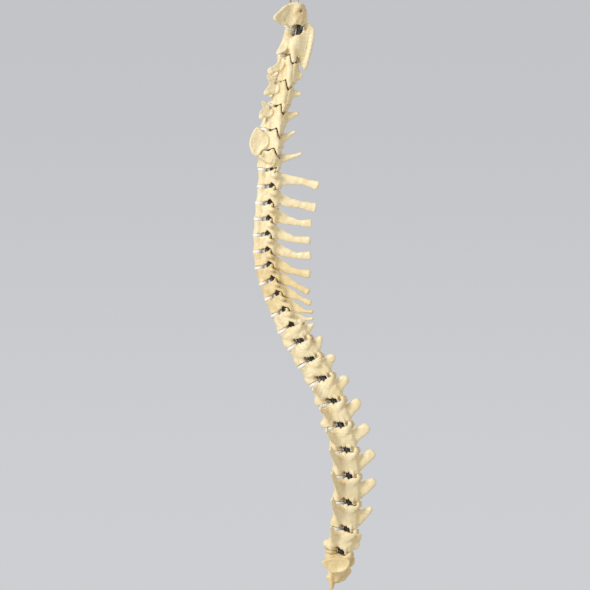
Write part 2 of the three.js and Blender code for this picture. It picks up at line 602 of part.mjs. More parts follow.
// The atlas: a ring with a wing at each side and a boss for the loop's leg
function atlas({ atlasTop, atlas: frame, shoulders }) {
  const half = ATLAS_LENGTH / 2;
  const wide = ATLAS_RING_WIDTH / 2;
  const deep = ATLAS_RING_DEPTH / 2;
  const tube = (y, x, long) => limb([
    [ATLAS_RING_X, 0, long, y, x],
    [ATLAS_RING_X, 0, -long, y, x],
  ], undefined, ATLAS_SIDES);
  const legX = frame.from(atlasTop, 0, 0)[0] - LOOP_SPAN / 2 - ATLAS_TOP_X;
  const boss = limb([
    [legX, 0, half, ATLAS_BOSS_DIAMETER / 2, ATLAS_BOSS_DIAMETER / 2],
    [legX, 0, half - ATLAS_BOSS_LENGTH, ATLAS_BOSS_DIAMETER / 2, ATLAS_BOSS_DIAMETER / 2],
  ], undefined, ROUND_SIDES);
  const floor = [-SEAM_WIDTH, SEAM_WIDTH].map((dorsal) => frame.from(shoulders, dorsal, ATLAS_PAD_GAP));
  const below = plate([...floor, [SEAM_WIDTH, -SEAM_DEPTH], [-SEAM_WIDTH, -SEAM_DEPTH]], -SEAM_WIDTH, SEAM_WIDTH);
  const back = ATLAS_RING_X + deep;
  const notch = plate([
    [back - ATLAS_NOTCH_DEPTH, -half - OVERRUN],
    [back - ATLAS_NOTCH_DEPTH, -half + OVERRUN],
    [back + OVERRUN, -half + ATLAS_NOTCH_LENGTH + OVERRUN],
    [back + OVERRUN, -half - OVERRUN],
  ], -SEAM_WIDTH, SEAM_WIDTH);
  const thick = ATLAS_WING_THICKNESS / 2;
  const knee = ATLAS_KNEE_SHARES;
  const kneeX = -ATLAS_WING_SAG * knee.sag;
  const kneeZ = -ATLAS_WING_SWEEP * knee.sweep;
  const wings = limbPair([
    [ATLAS_RING_WALL / 2, wide - ATLAS_RING_WALL, 0, ATLAS_WING_ROOT / 2, thick],
    [kneeX, wide + ATLAS_RING_WALL * 2, kneeZ, ATLAS_WING_ROOT * knee.root, thick * knee.thickness],
    [-ATLAS_WING_SAG, ATLAS_WING_SPAN / 2, -ATLAS_WING_SWEEP, ATLAS_WING_EDGE / 2, thick * ATLAS_WING_EDGE_SHARE],
  ], new THREE.Vector3(0, 0, 1));
  const top = frame.from(WORLD, -LOOP_SPAN / 2, OVERRUN - LOOP_RISE);
  const end = frame.from(WORLD, -LOOP_SPAN / 2, -LOOP_RISE - LOOP_SOCKET - SEAT_GAP);
  const bore = LOOP_WIRE / 2 + SEAT_GAP;
  const hole = limb([[top[0], 0, top[1], bore, bore], [end[0], 0, end[1], bore, bore]], undefined, ROUND_SIDES);
  return tube(wide, deep, half).add(boss).subtract(below).subtract(notch).add(wings)
    .subtract(tube(wide - ATLAS_RING_WALL, deep - ATLAS_RING_WALL, half + OVERRUN))
    .subtract(hole);
}

// The sacrum: a tapering body with a wing at each side, an arch with a crest, and two spikes at the tail
function sacrum(bone) {
  const { frame, head, row } = bone;
  const half = row.pitch / 2;
  const wing = platePair(
    SACRUM_WING_SHARES.map(([across, along]) => [
      SACRUM_WING_X + SACRUM_WING_DEPTH * across,
      half - SACRUM_WING_DROP - SACRUM_WING_LENGTH * along,
    ]),
    SACRUM_TAIL.bodyWidth / 2,
    SACRUM_WING_SPAN / 2,
  );
  const crest = plate(
    SACRUM_CREST_SHARES.map(([across, along]) => [SACRUM_CREST_REACH * across, row.pitch * along]),
    -SACRUM_CREST_THICKNESS / 2,
    SACRUM_CREST_THICKNESS / 2,
  );
  const { kind } = row;
  const top = frame.from(head, CORE_X, -kind.pedicleFore - kind.facetGap);
  const arch = limb([
    [top[0], 0, top[1], kind.archWidth / 2, kind.archDepth / 2],
    [CORE_X, 0, 0, kind.archWidth / 2 - SINK, kind.archDepth / 2],
    [CORE_X / 2, 0, -half * SACRUM_ARCH_SHARE, SACRUM_TAIL.bodyWidth / 2, kind.archDepth / 4],
  ], undefined, ROUND_SIDES);
  const spikes = limbPair([
    [0, SACRUM_SPIKE.reach, -half + OVERRUN, SACRUM_SPIKE.width / 2, SACRUM_SPIKE.depth / 2],
    [0, SACRUM_SPIKE.reach, -half - SACRUM_SPIKE.length, SACRUM_SPIKE.width / 4, SACRUM_SPIKE.depth / 4],
  ]);
  const body = centrum({ ...bone, joint: SACRUM_TAIL });
  const whole = joined([body, arch, ...upperArch(bone), crest, wing, spikes]);
  const wide = kind.canalDiameter / 2;
  const upper = frame.from(head, CORE_X, kind.facetLap + OVERRUN);
  const bore = limb([
    [upper[0], 0, upper[1], wide, wide],
    [CORE_X, 0, 0, wide, wide],
    [CORE_X, 0, -row.pitch, wide, wide],
  ], undefined, ROUND_SIDES);
  return whole.subtract(bore).subtract(seamHead(bone));
}

// The path of the core through the canals, from the atlas to the sacrum
function corePath({ atlasTop, shoulders, bones }) {
  const last = bones[bones.length - 1];
  const points = [
    atlasTop.at(CORE_TOP_X, -CORE_TOP_DROP),
    atlasTop.at(CORE_TOP_X, -CORE_TOP_DROP - FERRULE_GRIP),
    shoulders.at(CORE_X, 0),
  ];
  for (const { frame, foot } of bones.slice(0, -1)) {
    points.push(frame.at(CORE_X, 0), foot.at(CORE_X, 0));
  }
  const half = last.row.pitch / 2;
  points.push(last.frame.at(CORE_X, half - CORE_TAIL + FERRULE_GRIP), last.frame.at(CORE_X, half - CORE_TAIL));
  return new THREE.CatmullRomCurve3(points.map(([x, z]) => new THREE.Vector3(x, 0, z)), false, 'centripetal');
}

// A ferrule whose bore for the core starts at its frame and runs down, or up when it is turned over
function ferrule(leg, sign) {
  const shell = FERRULE_DIAMETER / 2;
  const bore = CORE_DIAMETER / 2 + SEAT_GAP;
  const cap = sign * (FERRULE_LENGTH - FERRULE_GRIP);
  const grip = -sign * FERRULE_GRIP;
  const body = limb([[0, 0, grip, shell, shell], [0, 0, cap, shell, shell]], undefined, ROUND_SIDES);
  const seat = sign * SEAT_GAP;
  const inside = limb([[0, 0, grip * 2, bore, bore], [0, 0, seat, bore, bore]], undefined, ROUND_SIDES);
  const cut = body.subtract(inside);
  if (!leg) return cut;
  const wide = leg / 2 + SEAT_GAP;
  return cut.subtract(limb([[0, 0, 0, wide, wide], [0, 0, cap * 2, wide, wide]], undefined, ROUND_SIDES));
}

// A spacer disc, as wide and deep as the end of the bone below it
function disc({ joint }) {
  const half = joint.discThickness / 2 - SEAT_GAP;
  return limb([
    [0, 0, half, joint.bodyWidth / 2, joint.bodyDepth / 2],
    [0, 0, -half, joint.bodyWidth / 2, joint.bodyDepth / 2],
  ], undefined, DISC_SIDES);
}

// The pad between the atlas and the shoulders of the axis, notched for the dens
function atlasPad() {
  const slab = (y, x, from, to, centre) => limb([
    [centre, 0, to, y, x],
    [centre, 0, from, y, x],
  ], undefined, DISC_SIDES);
  const notch = DENS_DIAMETER / 2 + SEAT_GAP * 2;
  return slab(AXIS_SHOULDER_WIDTH / 2, AXIS_SHOULDER_DEPTH / 2, SEAT_GAP, ATLAS_PAD_GAP - SEAT_GAP, 0)
    .subtract(slab(notch, notch, -OVERRUN, ATLAS_PAD_GAP + OVERRUN, DENS_X));
}

const model = new THREE.Group();

// Adds a mesh whose geometry is in a frame of the spine's line
function place(name, made, material, frame) {
  const mesh = new THREE.Mesh(geometryOf(made), material);
  mesh.name = name;
  mesh.position.set(frame.x, 0, frame.z);
  mesh.rotation.y = -frame.lean;
  model.add(mesh);
}

const plan = layOut();
const [axisBone, ...others] = plan.bones;
const sacrumBone = others.pop();
place('atlas_c1', atlas(plan), BONE, plan.atlas);
place(axisBone.row.name, axis(axisBone), BONE, axisBone.frame);
others.forEach((bone) => place(bone.row.name, vertebra(bone), BONE, bone.frame));
place(sacrumBone.row.name, sacrum(sacrumBone), BONE, sacrumBone.frame);

place('atlas_axis_pad', atlasPad(), FOAM, plan.shoulders);
[axisBone, ...others].forEach((bone) => {
  place(`disc_below_${bone.row.name}`, disc(bone), FOAM, bone.foot);
});

place('core_rod', rod(corePath(plan), CORE_DIAMETER, CORE_STEPS), RUBBER, WORLD);
place('hanging_loop', rod(loopPath(plan), LOOP_WIRE, LOOP_STEPS), BRASS, WORLD);
const coreTop = plan.atlasTop.at(CORE_TOP_X, -CORE_TOP_DROP);
place('loop_ferrule', ferrule(LOOP_WIRE, 1), BRASS, new Frame(...coreTop, ATLAS_LEAN_DEG));
const coreEnd = sacrumBone.frame.at(CORE_X, sacrumBone.row.pitch / 2 - CORE_TAIL);
place('end_ferrule', ferrule(0, -1), BRASS, new Frame(...coreEnd, sacrumBone.row.leanDeg));

export default model;
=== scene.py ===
"""Looks of the hanging model of a dog's vertebral column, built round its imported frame.

Every bone is a smooth solid that is made as a signed distance on a grid and then meshed, with its canal,
notches, joint facets and processes. Sizes are in millimetres until a mesh is made. In a bone's own frame x is
dorsal, y is to the side and z is cranial. Each white disc and each length of the core rides on the bone above
it, but the pad and the core's first length bend between the atlas and the axis.
"""

import itertools
import json
import logging
import math
from collections.abc import Callable
from dataclasses import dataclass
from enum import Enum

import bpy
import numpy as np
from mathutils import Vector
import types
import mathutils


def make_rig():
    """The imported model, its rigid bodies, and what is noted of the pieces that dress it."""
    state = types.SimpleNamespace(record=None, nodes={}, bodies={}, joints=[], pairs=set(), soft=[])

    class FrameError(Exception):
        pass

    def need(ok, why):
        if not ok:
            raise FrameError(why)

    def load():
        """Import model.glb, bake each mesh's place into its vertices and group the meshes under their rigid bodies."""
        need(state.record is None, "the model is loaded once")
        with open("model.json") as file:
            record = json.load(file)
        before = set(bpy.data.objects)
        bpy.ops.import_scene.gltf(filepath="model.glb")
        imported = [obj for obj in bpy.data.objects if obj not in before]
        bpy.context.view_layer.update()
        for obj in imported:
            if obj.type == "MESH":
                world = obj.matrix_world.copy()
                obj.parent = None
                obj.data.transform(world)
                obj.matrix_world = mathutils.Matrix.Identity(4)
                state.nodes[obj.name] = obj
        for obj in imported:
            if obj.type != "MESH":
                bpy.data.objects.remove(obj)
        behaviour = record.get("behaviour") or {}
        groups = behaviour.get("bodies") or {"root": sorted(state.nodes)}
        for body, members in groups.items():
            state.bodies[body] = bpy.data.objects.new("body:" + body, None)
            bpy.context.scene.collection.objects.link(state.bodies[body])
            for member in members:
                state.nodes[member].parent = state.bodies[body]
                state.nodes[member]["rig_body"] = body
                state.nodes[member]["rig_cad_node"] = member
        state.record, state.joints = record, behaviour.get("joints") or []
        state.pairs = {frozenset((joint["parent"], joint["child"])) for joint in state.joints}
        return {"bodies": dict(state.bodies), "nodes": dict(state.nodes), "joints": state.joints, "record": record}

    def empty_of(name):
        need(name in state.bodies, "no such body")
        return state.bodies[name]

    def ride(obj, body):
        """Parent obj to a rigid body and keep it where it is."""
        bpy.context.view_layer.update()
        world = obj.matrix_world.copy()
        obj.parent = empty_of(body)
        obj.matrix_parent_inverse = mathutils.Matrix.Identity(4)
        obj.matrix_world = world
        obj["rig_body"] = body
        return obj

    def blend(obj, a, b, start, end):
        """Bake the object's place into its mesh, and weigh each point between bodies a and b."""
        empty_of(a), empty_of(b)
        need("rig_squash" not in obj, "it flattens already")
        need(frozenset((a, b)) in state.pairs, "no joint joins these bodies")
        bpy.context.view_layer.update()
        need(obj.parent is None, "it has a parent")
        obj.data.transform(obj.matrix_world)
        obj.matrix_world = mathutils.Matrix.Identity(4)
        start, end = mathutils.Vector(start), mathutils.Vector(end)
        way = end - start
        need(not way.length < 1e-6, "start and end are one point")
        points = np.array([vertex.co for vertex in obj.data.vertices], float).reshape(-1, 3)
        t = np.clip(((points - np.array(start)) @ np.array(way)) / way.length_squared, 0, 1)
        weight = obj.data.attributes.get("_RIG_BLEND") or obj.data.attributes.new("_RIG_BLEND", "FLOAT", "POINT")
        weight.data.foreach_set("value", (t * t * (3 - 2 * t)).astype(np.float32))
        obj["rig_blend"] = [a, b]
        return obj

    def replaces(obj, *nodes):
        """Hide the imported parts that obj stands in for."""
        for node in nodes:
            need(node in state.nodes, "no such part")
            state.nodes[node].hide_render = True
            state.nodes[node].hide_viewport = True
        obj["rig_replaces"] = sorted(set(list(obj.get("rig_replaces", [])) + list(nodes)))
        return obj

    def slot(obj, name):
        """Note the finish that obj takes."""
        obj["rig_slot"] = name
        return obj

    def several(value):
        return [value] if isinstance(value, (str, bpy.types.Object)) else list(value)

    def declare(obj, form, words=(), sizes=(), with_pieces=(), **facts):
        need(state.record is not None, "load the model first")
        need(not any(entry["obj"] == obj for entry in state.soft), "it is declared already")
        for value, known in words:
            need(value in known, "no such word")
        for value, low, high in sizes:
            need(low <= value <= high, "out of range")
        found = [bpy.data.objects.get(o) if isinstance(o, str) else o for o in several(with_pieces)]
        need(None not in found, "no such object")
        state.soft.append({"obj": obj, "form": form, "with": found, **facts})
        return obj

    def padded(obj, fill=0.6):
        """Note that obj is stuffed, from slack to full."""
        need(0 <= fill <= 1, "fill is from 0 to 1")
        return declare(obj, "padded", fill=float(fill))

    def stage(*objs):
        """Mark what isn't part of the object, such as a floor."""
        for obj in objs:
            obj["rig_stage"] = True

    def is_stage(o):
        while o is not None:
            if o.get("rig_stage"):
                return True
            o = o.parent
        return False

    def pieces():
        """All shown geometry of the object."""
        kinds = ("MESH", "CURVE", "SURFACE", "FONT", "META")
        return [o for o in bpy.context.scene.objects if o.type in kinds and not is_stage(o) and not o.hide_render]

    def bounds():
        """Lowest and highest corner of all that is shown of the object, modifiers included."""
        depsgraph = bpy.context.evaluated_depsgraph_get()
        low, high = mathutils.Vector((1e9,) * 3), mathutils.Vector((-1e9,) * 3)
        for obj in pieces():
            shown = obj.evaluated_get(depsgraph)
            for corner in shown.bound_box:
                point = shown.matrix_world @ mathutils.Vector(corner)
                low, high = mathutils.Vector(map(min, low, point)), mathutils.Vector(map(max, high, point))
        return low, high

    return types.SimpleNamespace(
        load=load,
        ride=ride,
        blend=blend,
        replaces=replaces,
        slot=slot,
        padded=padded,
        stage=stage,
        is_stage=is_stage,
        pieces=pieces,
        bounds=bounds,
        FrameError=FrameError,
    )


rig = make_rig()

LOG = logging.getLogger("column")
MM = 0.001
SIZE_FILE = "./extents.json"
FAR = 12.0  # a distance beyond any that matters
ASIDE = 40.0  # past the side of any bone
CORE_X = 9.8  # from the spine's line to the core
CORE_TOP_X = 8.8  # the same at the core's upper end
CORE_TOP_DROP = 8.0  # from the atlas's top to that end
CORE_TAIL = 14.0  # how far the core runs into the sacrum
CORE_NECK = 2.2  # the core's radius where a ferrule grips it
CORE_GRIP = 3.6  # how far the ferrule grips
CORE_PAST = 4.2  # from a disc to the end of a length of core
CORE_GAP = 1.0  # between two lengths
LET_IN = 0.55  # how far a disc goes into the bone below it
SLACK = 0.65  # the gap between two bones at their joint's limit
LOOP_RISE = 12.0  # from the atlas to the loop's bend
LOOP_SPAN = 7.7  # between the loop's two legs
LOOP_RADIUS = 0.9
LOOP_SOCKET = 5.0  # how far the ventral leg runs into the atlas
ATLAS_LENGTH = 24.6
ATLAS_LEAN = -7.0
PAD_GAP = 3.0  # between the atlas and the axis
PAD_SIZE = (23.0, 9.6)  # its width and depth
PAD_NOTCH = (2.9, 2.7)  # the x and the radius of its opening for the dens
SPACER_PLAY = 0.1  # kept free at each face of a disc
STIFF = {  # the limits in degrees of the joints above these bones, where they bend less than their region
    "thoracic_6": 1.5, "thoracic_7": 0.5, "thoracic_8": 1.0, "thoracic_9": 1.0, "thoracic_10": 1.5,
}


class Region(Enum):
    """The parts of the column that share a pattern of bone."""

    NECK = "neck"
    CHEST = "chest"
    LOIN = "loin"


@dataclass(frozen=True)
class Pattern:
    """Sizes that the bones of a region share, with the least gap between two and how far they bend."""

    region: Region
    depth: float
    width: float
    disc: float
    canal: float
    arch_width: float
    roof_x: float
    facet_x: float
    facet_lap: float
    notch_aft: float
    inset: float
    core: float
    seam: float
    bend: float

    @property
    def hook_y(self) -> float:
        """How far out the inner faces of the hooked facets stand."""
        return self.arch_width / 2 - 3.4


NECK = Pattern(Region.NECK, 11, 16, 3.2, 8.4, 25, 17, 11.5, 3.6, 5.5, 0.6, core=3.2, seam=1.1, bend=3.5)
CHEST = Pattern(Region.CHEST, 11, 14, 3.4, 7.2, 15, 17.6, 14.4, 2.6, 6.2, 1.6, core=2.9, seam=0.75, bend=2.0)
LOIN = Pattern(Region.LOIN, 13, 19, 3.8, 7.8, 21, 18.5, 14.6, 3.4, 6.6, 0.6, core=3.3, seam=1.1, bend=3.0)


@dataclass(frozen=True)
class Row:
    """One bone's own sizes: its length, its tilt in degrees and its spine."""

    name: str
    pattern: Pattern
    pitch: float
    lean: float
    root: float
    reach: float
    drop: float
    tip: float
    bow: float = 0.0


ROWS = (
    Row("axis_c2", NECK, 26.5, -16, 4, 27, 15.5, 6),
    Row("cervical_3", NECK, 27, -11, 2, 22, 5, 8),
    Row("cervical_4", NECK, 25.5, -14, -4, 25.5, -6, 5),
    Row("cervical_5", NECK, 25.5, -13.5, -5, 28, -11, 4.5),
    Row("cervical_6", NECK, 21.5, -6, -4, 30, -11.5, 4),
    Row("cervical_7", NECK, 19.5, -3, -3, 38.5, -8.5, 4, 1),
    Row("thoracic_1", CHEST, 17.5, -3, 0.5, 58.5, 5.5, 9, -2),
    Row("thoracic_2", CHEST, 17, -6.5, 2, 58, 6.5, 9.5, 1),
    Row("thoracic_3", CHEST, 16.5, -5, 3, 55, 8, 8, 2.5),
    Row("thoracic_4", CHEST, 16.5, -3.5, 3.6, 54, 10, 8, 3),
    Row("thoracic_5", CHEST, 17, 0.5, 4.5, 54.5, 12.5, 8.5, 3.5),
    Row("thoracic_6", CHEST, 16.5, 6.5, 6, 51, 21, 8.5, 2),
    Row("thoracic_7", CHEST, 16.5, 15, 6.8, 42.5, 29, 7),
    Row("thoracic_8", CHEST, 16.5, 20, 6.8, 38.5, 27.5, 6),
    Row("thoracic_9", CHEST, 18, 22.5, 5, 36, 20.5, 3.6, 3),
    Row("thoracic_10", CHEST, 18.5, 25, 3, 33, 10.5, 3.4, 1),
    Row("thoracic_11", LOIN, 19.5, 30.5, 1, 30, -0.5, 4),
    Row("thoracic_12", LOIN, 21.5, 31, 1, 29.5, -5, 7),
    Row("thoracic_13", LOIN, 22.5, 32.5, 0, 30.5, -3, 9),
    Row("lumbar_1", LOIN, 24, 24.5, 0, 32, -5, 10),
    Row("lumbar_2", LOIN, 24.5, 16, 0, 35, -7.5, 10, 1),
    Row("lumbar_3", LOIN, 25.5, 13.5, 0, 36.5, -6.5, 11, 1),
    Row("lumbar_4", LOIN, 25, 5, 0, 36.5, -10, 11, 1),
    Row("lumbar_5", LOIN, 26.5, -1, 0, 36, -10.5, 9, 1),
    Row("lumbar_6", LOIN, 26.5, -5, 0, 33, -10.5, 7, 1),
    Row("lumbar_7", LOIN, 24, -13.5, -1, 25, -12, 5),
    Row("sacrum", LOIN, 36, -4, 0, 22, -4, 6),
)


@dataclass(frozen=True)
class Place:
    """A frame on the column's line in the plane of symmetry, with its tilt in degrees."""

    x: float
    z: float
    lean: float

    @property
    def way(self) -> tuple[float, float]:
        """The cosine and the sine of the tilt."""
        return math.cos(math.radians(self.lean)), math.sin(math.radians(self.lean))

    def at(self, dorsal: float, cranial: float) -> tuple[float, float]:
        """Gives the point at a dorsal and a cranial distance, in the whole model."""
        c, s = self.way
        return self.x + dorsal * c - cranial * s, self.z + dorsal * s + cranial * c

    def metres(self, dorsal: float, cranial: float) -> tuple[float, float, float]:
        """Gives the same point in space and in metres."""
        x, z = self.at(dorsal, cranial)
        return x * MM, 0, z * MM

    def moved(self, dorsal: float, cranial: float) -> "Place":
        """Gives the frame at another spot, with the same tilt."""
        return Place(*self.at(dorsal, cranial), self.lean)

    def turned(self, lean: float) -> "Place":
        """Gives the same spot with another tilt."""
        return Place(self.x, self.z, lean)

    def of(self, other: "Place", dorsal: float, cranial: float) -> tuple[float, float]:
        """Gives another frame's point in this frame's distances."""
        c, s = self.way
        x, z = other.at(dorsal, cranial)
        dx, dz = x - self.x, z - self.z
        return dx * c + dz * s, dz * c - dx * s

    def world(self, points: np.ndarray) -> np.ndarray:
        """Turns points of this frame in mm into points of the model in metres."""
        c, s = self.way
        x = self.x + points[:, 0] * c - points[:, 2] * s
        z = self.z + points[:, 0] * s + points[:, 2] * c
        return np.stack([x, points[:, 1], z], axis=1) * MM


WORLD = Place(0, 0, 0)


@dataclass
class Site:
    """Where a bone lies: its frame, the frames of the discs at its two ends, and its neighbours."""

    row: Row
    place: Place
    head: Place
    foot: Place
    above: "Site | None" = None
    below: "Site | None" = None

    def up(self, dorsal: float, cranial: float) -> tuple[float, float]:
        """Gives a point of the upper disc's frame in the bone's frame."""
        return self.place.of(self.head, dorsal, cranial)

    def low(self, dorsal: float, cranial: float) -> tuple[float, float]:
        """Gives a point of the lower disc's frame in the bone's frame."""
        return self.place.of(self.foot, dorsal, cranial)

    @property
    def joint(self) -> Pattern:
        """The pattern of the joint at the foot, which is that of the bone below."""
        return (self.below or self).row.pattern

    def spine_point(self, share: float) -> tuple[float, float]:
        """Gives a point of the spine's middle line, in the whole model."""
        row = self.row
        dorsal = row.pattern.roof_x + (row.reach - row.pattern.roof_x) * share
        caudal = row.root + (row.drop - row.root) * share + row.bow * math.sin(share * math.pi)
        return self.place.at(dorsal, -caudal)


class Layout:
    """The whole line of the column, from the hanging loop down."""

    def __init__(self) -> None:
        """Lays the bones out one below the other."""
        self.atlas_top = Place(-1, -LOOP_RISE, ATLAS_LEAN)
        self.atlas = self.atlas_top.moved(0, -ATLAS_LENGTH / 2)
        self.shoulders = self.atlas_top.moved(0, -(ATLAS_LENGTH + PAD_GAP)).turned(ROWS[0].lean)
        self.sites: list[Site] = []
        point, head = self.shoulders, self.shoulders
        for row, below in zip(ROWS, ROWS[1:] + ROWS[-1:]):
            start = point.turned(row.lean)
            point = start.moved(0, -row.pitch)
            foot = point.turned((row.lean + below.lean) / 2)
            self.sites.append(Site(row, start.moved(0, -row.pitch / 2), head, foot))
            head = foot
        for upper, lower in zip(self.sites, self.sites[1:]):
            upper.below, lower.above = lower, upper

    @staticmethod
    def body(name: str) -> str:
        """Gives the moving body that carries a bone."""
        return {"axis_c2": "axis", "atlas_c1": "atlas"}.get(name, name)


Outline = list[tuple[float, float]]
Station = tuple[float, float, float, float, float]
Window = tuple[slice, slice, slice]
Axes = tuple[np.ndarray, ...] | list[np.ndarray]
ACROSS = (0.0, 1.0, 0.0)
ALONG = (0.0, 0.0, 1.0)
WHOLE: Window = (slice(None),) * 3
THINNEST = 0.3
MARGIN = 6.0  # how far round a shape the clay may change
SWELLS = ((11.0, 0.16), (6.0, 0.1), (3.4, 0.06))  # the length and the height of the casting's unevenness
DEPTHS = (1.5, 3.0, 5.0)  # how far out a recess is looked for
CORNERS = [np.array([(b >> 2) & 1, (b >> 1) & 1, b & 1]) for b in range(8)]  # of a grid's cell


def station(spot: tuple[float, float], y: float, one: float, two: float) -> Station:
    """Gives a limb's station beside a point of the plane of symmetry, with its two radii."""
    return spot[0], y, spot[1], one, two


def polygon(points: Outline, x: np.ndarray, z: np.ndarray) -> np.ndarray:
    """Measures the signed distance to an outline.

    Args:
        points: the outline's corners, in x and z.
        x: the grid's x values.
        z: the grid's z values.

    Returns:
        The distance at each grid point, negative inside.
    """
    gx, gz = np.meshgrid(x, z, indexing="ij")
    best = np.full(gx.shape, 1e9)
    inside = np.zeros(gx.shape, bool)
    for (ax, az), (bx, bz) in zip(points, points[1:] + points[:1]):
        ex, ez = bx - ax, bz - az
        wx, wz = gx - ax, gz - az
        t = np.clip((wx * ex + wz * ez) / max(ex * ex + ez * ez, 1e-9), 0, 1)
        best = np.minimum(best, (wx - t * ex) ** 2 + (wz - t * ez) ** 2)
        crosses = (az <= gz) != (bz <= gz)
        inside ^= crosses & (gx < ax + (gz - az) * ex / (ez if ez else 1e-9))
    return np.where(inside, -1.0, 1.0) * np.sqrt(best)


def through(
    p0: np.ndarray, p1: np.ndarray, p2: np.ndarray, p3: np.ndarray, t: float | np.ndarray
) -> np.ndarray:
    """Gives a point of the smooth curve from p1 to p2, where t runs from 0 to 1."""
    return p1 + 0.5 * t * (p2 - p0 + t * (2 * p0 - 5 * p1 + 4 * p2 - p3 + t * (3 * (p1 - p2) + p3 - p0)))


def flowing(points: Outline, parts: int = 5) -> Outline:
    """Runs a smooth closed curve through the corners of an outline."""
    ring = np.array(points, float)
    t = (np.arange(parts) / parts)[None, :, None]
    curve = through(*(np.roll(ring, shift, 0)[:, None, :] for shift in (1, 0, -1, -2)), t)
    return [tuple(point) for point in curve.reshape(-1, 2)]


def oval(u: np.ndarray, v: np.ndarray, w: np.ndarray, radii: tuple[float | np.ndarray, ...]) -> np.ndarray:
    """Measures nearly how far points lie from an oval solid with three radii, along its own axes."""
    a, b, c = radii
    k0 = np.sqrt((u / a) ** 2 + (v / b) ** 2 + (w / c) ** 2)
    k1 = np.sqrt((u / a**2) ** 2 + (v / b**2) ** 2 + (w / c**2) ** 2) + 1e-5
    return k0 * (k0 - 1) / k1


def rounded(flat: np.ndarray, slab: np.ndarray, rounding: float) -> np.ndarray:
    """Measures how far points lie from a plate, given its outline and its faces drawn in by the rounding."""
    inner, outer = np.minimum(np.maximum(flat, slab), 0), np.hypot(np.maximum(flat, 0), np.maximum(slab, 0))
    return inner + outer - rounding


def fair(stations: list[Station], step: float = 2.0) -> np.ndarray:
    """Runs a smooth curve through stations and samples it finely.

    Args:
        stations: places and radii.
        step: the greatest length of a part.

    Returns:
        The sampled stations.
    """
    line = np.array(stations, float)
    if len(line) < 3:
        return line
    ends = np.concatenate([line[:1] * 2 - line[1:2], line, line[-1:] * 2 - line[-2:-1]])
    ends[0, 3:], ends[-1, 3:] = line[0, 3:], line[-1, 3:]
    out = []
    for p0, p1, p2, p3 in zip(ends, ends[1:], ends[2:], ends[3:]):
        parts = max(1, math.ceil(float(np.linalg.norm(p2[:3] - p1[:3])) / step))
        for n in range(parts):
            out.append(through(p0, p1, p2, p3, n / parts))
    out.append(line[-1])
    curve = np.array(out)
    curve[:, 3:] = np.maximum(curve[:, 3:], THINNEST)
    return curve


